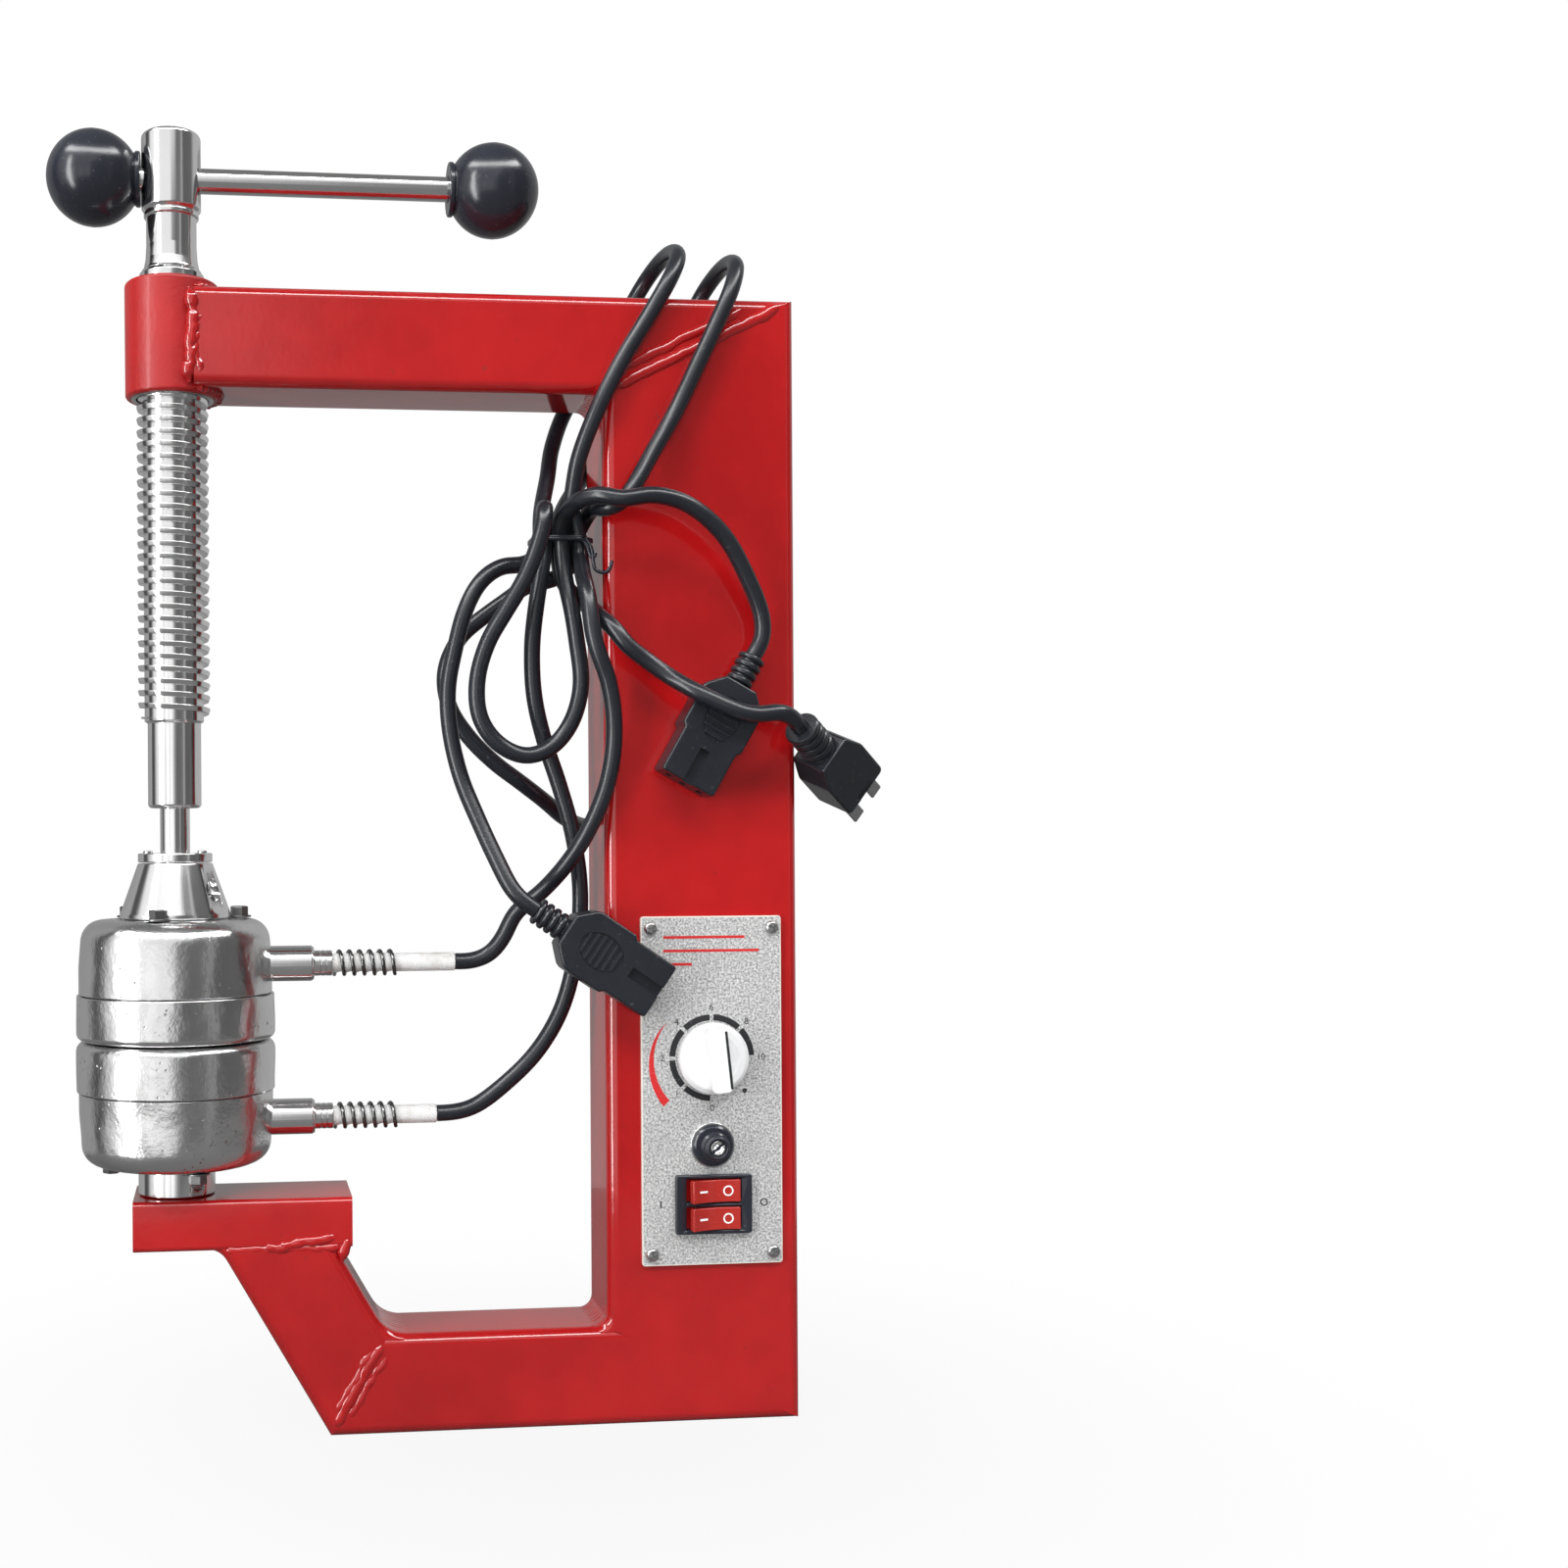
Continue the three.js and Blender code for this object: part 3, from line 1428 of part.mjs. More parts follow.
const lowerHeaterRoute = [
  [-51, 0, 126], [-44, 0, 126.3], [-35.5, 0, 128.5], [-21.5, 0, 138.5], [-9, 0, 150.9],
  [1.2, -1, 168.4], [7.4, -2, 192.8], [9, -3, 217.3], [5.4, -5, 241.7], [-0.4, -6, 261.9],
  [-6.6, -7, 280], [-10.9, -9, 297.9], [-11.9, -11, 317.8], [-10.7, -14, 333.5],
  [-8.2, -13.8, 349], [-6.9, -11.9, 357], [-7.1, -12, 364], [-7.3, -14.3, 370.6], [-8, -20, 373],
  [-8.8, -25.7, 370.6], [-9.8, -28, 365], [-11.6, -27.8, 358], [-17.1, -26.5, 343.6],
  [-24.9, -25, 330.3], [-31.8, -23, 318.3], [-36.2, -22, 302.6], [-35, -21.5, 287.6],
  [-27.4, -21, 277.1], [-16.3, -21, 272.4], [-5.8, -21, 276], [2.4, -20.5, 286], [6.6, -20, 301.2],
  [5.1, -19, 319], [3.4, -17.5, 332], [1.5, -14.2, 344], [0.7, -12.2, 353], [0.5, -11.9, 361],
  [-0.3, -16.3, 367.2], [1.6, -22.6, 371.8], [5, -31, 374.4], [11.5, -37.6, 375.2],
  [19.2, -40.5, 373.1], [31.9, -40.5, 374.9], [46.4, -39.5, 371.5], [61.6, -36, 360.3],
  [72.2, -32.5, 344.1], [79.3, -29.5, 328], [79.3, -28.5, 318.7], [75.6, -28.5, 312.2],
];

const mainsRoute = [
  [56.5, 39.6, 236.4], [56.5, 47, 236.4], [55, 54.5, 237], [49.5, 60, 238.2], [41, 61.5, 240],
  [31, 57, 242.5], [22, 48.5, 244.5], [14.3, 37.5, 246], [6.8, 27.5, 249], [-1, 19.5, 254.5],
  [-13.8, 12.5, 263.3], [-24.5, 10.5, 271], [-35.7, 9.6, 282], [-44, 9, 295], [-45.6, 8.6, 309.3],
  [-39.4, 8, 323.2], [-29.6, 6.5, 331.8], [-19.9, 5, 338.7], [-11.7, 4.4, 344.5],
  [-4.6, 4.7, 346.4], [2.7, 4.4, 348.8], [6.8, 0.9, 353.6], [7.7, -3.7, 359.5], [8.7, -4.6, 365.8],
  [11.5, -8, 371.6], [12.7, -15.6, 373.8], [12.6, -21.5, 373.2], [13.8, -27, 371.8],
  [17.4, -30.9, 371.4], [22, -32.2, 374.2], [26, -31.8, 379.6], [34, -28.5, 393],
  [45.3, -25.5, 412.2], [54.4, -25.5, 431.1], [62.6, -25.5, 448.4], [68.5, -25, 461.5],
  [72, -20, 471.5], [74, -7, 478.5], [73.5, 9, 480.5], [70, 21.5, 475.5], [64.5, 27, 465],
  [58.6, 27, 455.9], [47.2, 27, 437.3], [35.8, 27, 420], [26.3, 27, 406.2], [17, 26, 394.5],
  [11, 20.5, 386.5], [5.6, 11.5, 378.5], [1.8, 2.6, 371], [0.6, -3, 365], [0.5, -4.3, 358.5],
  [0.8, -4.4, 351], [2.9, -5.6, 343.5], [7.8, -9.6, 337.2], [11.6, -16.6, 332.8],
  [12.6, -22.8, 330], [14.3, -28, 327], [17.8, -31.6, 323], [22.8, -33.2, 316.2],
  [30.9, -32.5, 310.1], [40.1, -34, 303.4], [49.1, -39.5, 297.2], [58.5, -41.5, 292.4],
  [67, -42.3, 288.9], [75.2, -42.6, 287.9], [82, -42.6, 288.9], [88, -40, 287], [93.2, -35.2, 283.2],
];

// A curve whose rings stand at the chosen points themselves.
class CordPath extends THREE.CatmullRomCurve3 {
  getUtoTmapping(u) {
    return u;
  }
}

function addCord(name, route) {
  const points = route.map((point) => new THREE.Vector3(...point));
  const path = new CordPath(points, false, "centripetal");
  const cord = tubeAlong(path, cordRadius, cordSides, points.length - 1);
  addPiece(vulcanizer, name, cord, blackRubber);
}

// A group at a cord's far end, with +Z running on along the cord and +Y towards the front.
function atCordEnd(route) {
  const [before, end] = route.slice(-2).map((point) => new THREE.Vector3(...point));
  const along = end.clone().sub(before).normalize();
  const front = new THREE.Vector3(0, -1, 0);
  const across = new THREE.Vector3().crossVectors(front, along).normalize();
  const face = new THREE.Vector3().crossVectors(along, across);
  const group = new THREE.Group();
  group.setRotationFromMatrix(new THREE.Matrix4().makeBasis(across, face, along));
  group.position.copy(end);
  vulcanizer.add(group);
  return group;
}

// A strain relief of rings with grooves between them, from the cord's end upward.
function ribbedRelief(radius, length) {
  const pitch = length / reliefRibs;
  const profile = [[0, seatGap]];
  for (let i = 0; i < reliefRibs; i++) {
    const bottom = i === 0 ? seatGap : i * pitch;
    profile.push(
      [radius, bottom],
      [radius, (i + reliefRingShare) * pitch],
      [radius - reliefGroove, (i + reliefRingShare) * pitch],
      [radius - reliefGroove, (i + 1) * pitch],
    );
  }
  const rooted = length + connectorEdge + overrun; // inside the body's end
  profile.push([radius, length], [radius, rooted], [0, rooted]);
  return turned(profile, reliefSides);
}

// A flat-sided body along +Z from its outline in X and Z, with chamfered edges.
function mouldedBody(points, thickness) {
  const outline = new THREE.Shape(points.map(([x, z]) => new THREE.Vector2(x, z)));
  return new THREE.ExtrudeGeometry(outline, {
    depth: thickness - 2 * connectorEdge,
    bevelThickness: connectorEdge,
    bevelSize: connectorEdge,
    bevelOffset: -connectorEdge,
    bevelSegments: 1,
  })
    .rotateX(Math.PI / 2)
    .translate(0, thickness / 2 - connectorEdge, 0);
}

function addConnector(name, route) {
  const half = connectorWidth / 2;
  const gripHalf = half + gripSwell;
  const gripEnd = reliefLength + connectorGrip;
  const tip = gripEnd + connectorNose;
  const body = mouldedBody(
    [
      [-reliefRadius - connectorEdge, reliefLength],
      [reliefRadius + connectorEdge, reliefLength],
      [gripHalf, reliefLength + gripShoulder],
      [gripHalf, gripEnd - connectorEdge],
      [half, gripEnd],
      [half, tip],
      [-half, tip],
      [-half, gripEnd],
      [-gripHalf, gripEnd - connectorEdge],
      [-gripHalf, reliefLength + gripShoulder],
    ],
    connectorThickness,
  );
  const face = connectorThickness / 2;
  const gripMiddle = reliefLength + (gripShoulder + connectorGrip) / 2;
  const grooves = [];
  for (let i = 0; i < gripRibCount; i++) {
    const z = gripMiddle + (i - (gripRibCount - 1) / 2) * gripRibPitch;
    for (const side of [face, -face]) {
      grooves.push(box(gripRibWidth, 2 * gripGroove, gripRibPitch / 2, 0, side, z));
    }
  }
  const keyGroove = box(
    keyGrooveWidth,
    2 * keyGrooveDepth,
    keyGrooveLength + overrun,
    0,
    face,
    tip - (keyGrooveLength - overrun) / 2,
  );
  const slots = [-1, 0, 1].map((side) =>
    box(
      contactSlotWidth,
      contactSlotHeight,
      contactSlotDepth + overrun,
      side * pinSpacing,
      side === 0 ? -pinRise : pinRise - contactSlotWidth,
      tip - (contactSlotDepth - overrun) / 2,
    ),
  );
  const moulding = join(ribbedRelief(reliefRadius, reliefLength), body);
  const connector = cut(moulding, ...grooves, keyGroove, ...slots);
  addPiece(atCordEnd(route), name, connector, blackRubber);
}

function addMainsPlug() {
  const half = plugWidth / 2;
  const tip = plugReliefLength + plugLength;
  const shoulder = plugReliefLength + plugLength * plugShoulderShare;
  const body = mouldedBody(
    [
      [-plugReliefRadius - connectorEdge, plugReliefLength],
      [plugReliefRadius + connectorEdge, plugReliefLength],
      [half, shoulder],
      [half, tip],
      [plugNotchWidth / 2, tip],
      [plugNotchWidth / 2, tip - plugNotchDepth],
      [-plugNotchWidth / 2, tip - plugNotchDepth],
      [-plugNotchWidth / 2, tip],
      [-half, tip],
      [-half, shoulder],
    ],
    plugThickness,
  );
  const pinSides = [plugPinSpacing / 2, -plugPinSpacing / 2];
  const sockets = pinSides.map((x) =>
    box(
      plugPinWidth + 2 * seatGap,
      plugPinThickness + 2 * seatGap,
      plugPinRoot + seatGap + overrun,
      x,
      0,
      tip - (plugPinRoot + seatGap - overrun) / 2,
    ),
  );
  const plug = cut(join(ribbedRelief(plugReliefRadius, plugReliefLength), body), ...sockets);
  const end = atCordEnd(mainsRoute);
  addPiece(end, "mains_plug", plug, blackRubber);
  pinSides.forEach((x, i) => {
    const pin = box(plugPinWidth, plugPinThickness, plugPinRoot + plugPinLength);
    const middle = tip + (plugPinLength - plugPinRoot) / 2;
    addPiece(end, "mains_plug_pin_" + (i + 1), pin, steel, x, 0, middle);
  });
}

// A strap tie round the bundle, with its twisted tail hanging at the front.
function addCableTie() {
  const width = 2 * tieInnerHalfWidth;
  const depth = 2 * tieInnerHalfDepth;
  const outline = roundedOutline(
    width + 2 * tieThickness,
    depth + 2 * tieThickness,
    tieCorner + tieThickness,
  );
  outline.holes.push(roundedOutline(width, depth, tieCorner, new THREE.Path()));
  const band = new THREE.ExtrudeGeometry(outline, {
    depth: tieStrap,
    bevelEnabled: false,
    curveSegments: cornerSteps,
  }).translate(0, 0, -tieStrap / 2);
  const front = -tieInnerHalfDepth - tieThickness / 2;
  const start = new THREE.Vector3(tieInnerHalfWidth - tieInnerHalfDepth / 2, front, 0);
  const hang = new THREE.Vector3(...tieTailDirection).normalize().multiplyScalar(tieTailLength);
  const tailPath = new THREE.LineCurve3(start, start.clone().add(hang));
  const tail = tubeAlong(tailPath, tieTailRadius, hexSides, 1);
  addPiece(vulcanizer, "cable_tie", join(band, tail), blackPlastic, tieX, tieY, tieHeight);
}

addColumn();
addUpperArm();
addLowerArm();
addSlantLeg();
addAnvilBlock();
addNutBoss();
addSpindle();
addTommyBar();
addHeads();
addFoot();
addPost();
addPanel();
addTimer();
addFuse();
addSwitch();
addInlets();
addMainsGland();
addCord("upper_heater_cord", upperHeaterRoute);
addCord("lower_heater_cord", lowerHeaterRoute);
addCord("mains_cord", mainsRoute);
addConnector("upper_heater_connector", upperHeaterRoute);
addConnector("lower_heater_connector", lowerHeaterRoute);
addMainsPlug();
addCableTie();

export default vulcanizer;
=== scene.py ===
import math

import bmesh
import bpy
from mathutils import Matrix, Vector, noise


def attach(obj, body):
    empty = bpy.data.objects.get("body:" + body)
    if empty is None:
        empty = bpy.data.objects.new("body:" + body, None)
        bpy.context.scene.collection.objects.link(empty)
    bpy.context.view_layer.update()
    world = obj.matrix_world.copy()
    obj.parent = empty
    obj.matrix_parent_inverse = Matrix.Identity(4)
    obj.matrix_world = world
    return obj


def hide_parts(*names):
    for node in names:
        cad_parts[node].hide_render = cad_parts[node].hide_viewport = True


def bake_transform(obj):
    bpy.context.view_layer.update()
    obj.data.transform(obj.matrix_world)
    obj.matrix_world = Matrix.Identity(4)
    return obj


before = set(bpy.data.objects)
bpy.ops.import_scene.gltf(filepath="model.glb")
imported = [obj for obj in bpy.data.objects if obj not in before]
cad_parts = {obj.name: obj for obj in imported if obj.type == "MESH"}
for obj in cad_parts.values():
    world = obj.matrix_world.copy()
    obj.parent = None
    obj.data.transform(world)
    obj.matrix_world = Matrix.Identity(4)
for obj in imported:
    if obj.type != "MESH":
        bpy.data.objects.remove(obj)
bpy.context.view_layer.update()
bpy.context.scene.view_settings.view_transform = "Standard"

# Camera.
# It stands level in front of the tool, a little to the left of the screw, and turns slightly
# towards the column. The shift puts the tool in the left half of the picture.
MM = 0.001
picture_side = 1600
focal_pixels = 1875
principal_point = (440, 863)
sensor_width = 36
camera_turn = math.radians(6.3)
camera_roll = 7 / 1147


def linked(name, data):
    """A new object in the scene."""
    made = bpy.data.objects.new(name, data)
    bpy.context.scene.collection.objects.link(made)
    return made


camera = linked("camera", bpy.data.cameras.new("camera"))
camera.data.sensor_width = sensor_width
camera.data.lens = focal_pixels / picture_side * sensor_width
camera.data.shift_x = 0.5 - principal_point[0] / picture_side
camera.data.shift_y = principal_point[1] / picture_side - 0.5
camera.location = Vector((-136, -754, 236.4)) * MM
camera.rotation_euler = (math.pi / 2, camera_roll, -camera_turn)
bpy.context.scene.camera = camera


# Studio.
# A plain pale floor that runs out into an even white background, with large soft lights from
# the left and the front. What shines mirrors a room with bright windows to the left and above.
class Wire:
    """A node's output that ordinary arithmetic works on."""

    def __init__(self, tree, socket):
        self.tree = tree
        self.socket = socket

    def math(self, operation, first, second=0):
        return self.tree.node("ShaderNodeMath", {0: first, 1: second}, operation=operation)

    def __add__(self, other):
        return self.math("ADD", self, other)

    def __sub__(self, other):
        return self.math("SUBTRACT", self, other)

    def __rsub__(self, other):
        return self.math("SUBTRACT", other, self)

    def __mul__(self, other):
        return self.math("MULTIPLY", self, other)

    def __truediv__(self, other):
        return self.math("DIVIDE", self, other)

    __radd__ = __add__
    __rmul__ = __mul__


class Tree:
    """A node tree, built one node at a time; a short kind takes the tree's own prefix."""

    def __init__(self, nodes, prefix="ShaderNode"):
        self.nodes = nodes
        self.prefix = prefix

    def node(self, kind, values=None, out=0, **settings):
        made = self.nodes.nodes.new(kind if "Node" in kind else self.prefix + kind)
        for name, value in settings.items():
            setattr(made, name, value)
        for name, value in (values or {}).items():
            if isinstance(value, Wire):
                self.nodes.links.new(value.socket, made.inputs[name])
            else:
                made.inputs[name].default_value = value
        return Wire(self, made.outputs[out]) if len(made.outputs) else None

    def step(self, value, low, high):
        """0 below low and 1 above high, with a smooth rise between."""
        values = {"Value": value, "From Min": low, "From Max": high}
        return self.node("ShaderNodeMapRange", values, interpolation_type="SMOOTHSTEP")

    def mix(self, first, second, share):
        """Blends two colours."""
        return self.node("Mix", {0: share, 6: first, 7: second}, 2, data_type="RGBA")


class Look(Tree):
    """A material whose patterns follow the object's own coordinates."""

    def __init__(self, name):
        self.material = bpy.data.materials.new(name)
        self.material.use_nodes = True
        super().__init__(self.material.node_tree)
        self.nodes.nodes.clear()
        self.place = self.node("TexCoord", out=3)

    def cloud(self, scale, detail=3, roughness=0.55, place=None):
        values = {"Scale": scale, "Detail": detail, "Roughness": roughness}
        return self.node("TexNoise", {"Vector": place or self.place, **values})

    def cells(self, scale):
        return self.node("TexVoronoi", {"Vector": self.place, "Scale": scale})

    def bump(self, height, strength, distance, **below):
        values = {"Height": height, "Strength": strength, "Distance": distance}
        return self.node("Bump", {**values, **below})

    def surface(self, colour, roughness, normal, **others):
        values = {name.replace("_", " "): value for name, value in others.items()}
        values.update({"Base Color": colour, "Roughness": roughness, "Normal": normal})
        self.node("OutputMaterial", {"Surface": self.node("BsdfPrincipled", values)})
        return self.material


def grey(value):
    return (value, value, value, 1)


floor_look = Look("pale_floor")
spread = floor_look.node("VectorMath", {0: floor_look.place}, 1, operation="LENGTH")
lit_floor = floor_look.node("BsdfPrincipled", {"Base Color": grey(0.14), "Roughness": 0.8})
white_floor = floor_look.node("Emission", {"Color": grey(1.0)})
whiteness = floor_look.step(spread, 0.0, 0.4) * 0.09 + 0.91
whiteness = whiteness * floor_look.node("LightPath")
seen_floor = floor_look.node("MixShader", {0: whiteness, 1: lit_floor, 2: white_floor})
floor_look.node("OutputMaterial", {"Surface": seen_floor})
bpy.ops.mesh.primitive_circle_add(
    vertices=64, radius=0.5, fill_type="NGON", location=(0, 0, -0.0002)
)
floor = bpy.context.object
floor.name = "floor"
floor.data.materials.append(floor_look.material)

world = bpy.data.worlds.new("studio")
world.use_nodes = True
bpy.context.scene.world = world
room = Tree(world.node_tree)
room.nodes.nodes.clear()
toward = room.node("TexCoord")
sideways, forward, upward = [room.node("SeparateXYZ", {0: toward}, axis) for axis in range(3)]
around = sideways.math("ARCTAN2", sideways, 0 - forward) / math.tau + 0.5
brightest = 14
behind = 0.35
wall_tones = {
    -150: behind, -115: 0.42, -110: 0.08, -96: 0.08, -82: 0.8, -66: 1.0, -61: brightest,
    -53: brightest, -50: 1.5, -41: 1.4, -39: 0.6, -36: 0.6, -34: 1.5, -20: 1.3, -18: 0.7,
    -15: 1.4, -10: 1.4, -2: 0.6, 5: 0.25, 14: 0.14, 38: 0.2, 40: 0.45, 46: 0.4, 48: 0.12,
    85: 0.15, 100: 0.5, 150: 0.5,
}
room_tone = room.node("ValToRGB", {0: around})
stops = room_tone.socket.node.color_ramp.elements
for stop in stops:
    stop.color = grey(behind / brightest)
for turn, tone in wall_tones.items():
    stops.new(turn / 360 + 0.5).color = grey(tone / brightest)
in_front = room.step(0 - forward, 0.0, 0.15)
to_left = 1 - room.step(around, 0.495, 0.51)
not_right = 1 - room.step(around, 0.53, 0.57)
pillar = room.step(around, 0.327, 0.333) * (1 - room.step(around, 0.353, 0.358))
pillar = pillar * in_front * (1 - room.step(upward, 0.45, 0.6)) * room.step(upward, -0.6, -0.4)
strip = room.step(upward, 0.66, 0.70) * (1 - room.step(upward, 0.78, 0.82)) * in_front
for share, tone in (
    (1 - room.step(upward, -0.35, -0.2), 0.22),
    (room.step(upward, 0.0, 0.2) * in_front * to_left, 1.0),
    (room.step(upward, 0.3, 0.4) * in_front * not_right, 1.0),
    (room.step(upward, 0.65, 0.85), 0.2),
    (pillar, brightest),
    (strip, brightest),
):
    room_tone = room.mix(room_tone, grey(tone / brightest), share)
reflected = room.node("Background", {"Color": room_tone, "Strength": brightest})
seen = room.node("Background", {"Color": grey(1.0), "Strength": 1.0})
level = 1 - room.step(upward.math("ABSOLUTE", upward), 0.35, 0.75)
softness = in_front * level * 0.27 + 0.07
soft = room.node("Background", {"Color": grey(1.0), "Strength": softness})
matt = room.node("LightPath", out="Is Diffuse Ray")
direct = room.node("LightPath", out="Is Camera Ray")
lighting = room.node("MixShader", {0: matt, 1: reflected, 2: soft})
surroundings = room.node("MixShader", {0: direct, 1: lighting, 2: seen})
room.node("OutputWorld", {"Surface": surroundings})

softboxes = {"key": ((-1.3, -1.6, 0.45), 1.0, 1.4), "front": ((0.4, -1.9, 0.4), 1.1, 0.72)}
for name, (place, side, watts) in softboxes.items():
    light = linked(name, bpy.data.lights.new(name, "AREA"))
    light.data.size = side
    light.data.energy = watts
    light.location = place
    aim = Vector((-0.04, 0, 0.25)) - Vector(place)
    light.rotation_euler = aim.to_track_quat("-Z", "Y").to_euler()
    light.visible_glossy = False
level_light = linked("level_light", bpy.data.lights.new("level_light", "SUN"))
level_light.data.energy = 0.68
level_light.data.angle = math.radians(14)
level_light.rotation_euler = (math.radians(87), 0, math.radians(-14))
level_light.visible_glossy = False


# Welded frame.
# Square steel tubes, mitred, welded and painted over in one coat of gloss red enamel: the
# column, both arms, the leaning leg and the anvil block. Each tube is drawn from plane to plane.
frame_height = 460
tube_side = 40
column_width = 80
tube_corner = 4.5
column_left = 16.5
column_right = 96.5
foot_left = -96.5
screw_x = -157.5
leg_lean = math.radians(30)
anvil_top = 96
anvil_height = 20
inlet_heights = (320, 280)


def enamel(name, gloss, coat, crumbs):
    look = Look(name)
    haze = look.step(look.cloud(11, 5, 0.65), 0.3, 0.7)
    worn = look.step(look.cloud(170, 5, 0.7), 0.67, 0.72)
    tone = look.mix((0.29, 0.004, 0.005, 1), (0.41, 0.008, 0.009, 1), haze)
    tone = look.mix(tone, (0.13, 0.012, 0.012, 1), worn * 0.5)
    peel = look.bump(look.cloud(480, 3), 0.08 + crumbs, 0.0006)
    sag = look.bump(look.cloud(26, 2), 0.16, 0.0016, Normal=peel)
    rough = gloss + look.cloud(14, 4) * 0.07 + worn * 0.15
    return look.surface(tone, rough, sag, Coat_Weight=coat, Coat_Roughness=0.03)


red_enamel = enamel("red_enamel", 0.07, 0.5, 0)
brushed_enamel = enamel("brushed_red_enamel", 0.38, 0.1, 0.25)


def made_piece(name, mesh, material, place=Matrix(), smooth_below=35):
    """An object from a mesh in millimetres, put in place, smooth except at its sharp edges."""
    mesh.transform(place)
    mesh.transform(Matrix.Scale(MM, 4))
    mesh.materials.clear()
    mesh.materials.append(material)
    mesh.shade_smooth()
    mesh.set_sharp_from_angle(angle=math.radians(smooth_below))
    return linked(name, mesh)


def finished(shape):
    """The mesh of a shape that is done."""
    mesh = bpy.data.meshes.new("finished")
    shape.to_mesh(mesh)
    shape.free()
    return mesh


def merged(*meshes):
    """One mesh of several."""
    shape = bmesh.new()
    for mesh in meshes:
        shape.from_mesh(mesh)
    return finished(shape)


def solid(vertices, faces, dissolve=False):
    """A closed mesh with its doubled points joined and its faces outwards."""
    mesh = bpy.data.meshes.new("solid")
    mesh.from_pydata([tuple(v) for v in vertices], [], faces)
    shape = bmesh.new()
    shape.from_mesh(mesh)
    bmesh.ops.remove_doubles(shape, verts=shape.verts, dist=0.0005)
    if dissolve:
        bmesh.ops.dissolve_degenerate(shape, edges=shape.edges, dist=0.0005)
    bmesh.ops.recalc_face_normals(shape, faces=shape.faces)
    return finished(shape)


def rounded(points, turns=5):
    """A closed outline with its corners rounded: each point is (x, y) or (x, y, radius)."""
    drawn = []
    for i, point in enumerate(points):
        here = Vector(point[:2])
        radius = point[2] if len(point) > 2 else 0
        if not radius:
            drawn.append(here)
            continue
        back = (Vector(points[i - 1][:2]) - here).normalized()
        ahead = (Vector(points[(i + 1) % len(points)][:2]) - here).normalized()
        half = back.angle(ahead) / 2
        centre = here + (back + ahead).normalized() * (radius / math.sin(half))
        start = here + back * (radius / math.tan(half)) - centre
        end = here + ahead * (radius / math.tan(half)) - centre
        sweep = start.angle_signed(end)
        for j in range(turns + 1):
            drawn.append(centre + Matrix.Rotation(-sweep * j / turns, 2) @ start)
    return drawn


def rectangle(width, height, radius):
    """A rectangle round the origin with rounded corners."""
    x, y = width / 2, height / 2
    return rounded([(x, -y, radius), (x, y, radius), (-x, y, radius), (-x, -y, radius)], 6)


def lofted(rings):
    """A closed mesh through rings of points, capped at both ends."""
    n = len(rings[0])
    last = (len(rings) - 1) * n
    faces = [
        (i + j, i + (j + 1) % n, i + n + (j + 1) % n, i + n + j)
        for i in range(0, last, n)
        for j in range(n)
    ]
    faces += [tuple(range(n)), tuple(range(last, last + n))]
    return solid([point for ring in rings for point in ring], faces)


def between_planes(outline, across, up, along, middle, planes, rings=24):
    """A bar with this outline, from one plane to the other; a plane is (point, normal)."""
    across, up, along, middle = map(Vector, (across, up, along, middle))
    drawn = [[] for _ in range(rings + 1)]
    for i, ring in enumerate(drawn):
        for point in outline:
            base = middle + across * point[0] + up * point[1]
            reach = [(Vector(p) - base).dot(Vector(n)) / along.dot(Vector(n)) for p, n in planes]
            ring.append(base + along * (reach[0] + (reach[1] - reach[0]) * i / rings))
    return lofted(drawn)


def bake_modifiers(piece):
    """Turns the piece, as its modifiers show it, into a plain mesh."""
    shown = piece.evaluated_get(bpy.context.evaluated_depsgraph_get())
    mesh = bpy.data.meshes.new_from_object(shown)
    if piece.type == "MESH":
        piece.modifiers.clear()
        piece.data = mesh
        return piece
    plain = linked("plain", mesh)
    name = piece.name
    bpy.data.objects.remove(piece)
    plain.name = name
    return plain


def dress(piece, *nodes, body="frame"):
    """The piece rides on its body and stands for its CAD nodes."""
    piece.modifiers.new("even", "WEIGHTED_NORMAL").keep_sharp = True
    bake_modifiers(piece)
    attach(piece, body)
    if nodes:
        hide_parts(*nodes)
    return piece


def put(name, mesh, material, *nodes, body="frame", place=Matrix(), smooth_below=35):
    """A piece that is dressed as soon as it is made."""
    piece = made_piece(name, mesh, material, place, smooth_below)
    return dress(piece, *nodes, body=body)


def carve(piece, *cutters, place=Matrix(), operation="DIFFERENCE"):
    """Cuts the other meshes, in millimetres, out of the piece, or joins them to it."""
    others = [made_piece("cutter", c, piece.data.materials[0], place) for c in cutters]
    for other in others:
        step = piece.modifiers.new("step", "BOOLEAN")
        step.operation = operation
        step.solver = "EXACT"
        step.object = other
    bake_modifiers(piece)
    for other in others:
        bpy.data.objects.remove(other)
    return piece


def box(width, depth, height, x, y, z):
    shape = bmesh.new()
    place = Matrix.Translation((x, y, z)) @ Matrix.Diagonal((width, depth, height, 1))
    bmesh.ops.create_cube(shape, size=1, matrix=place)
    return finished(shape)


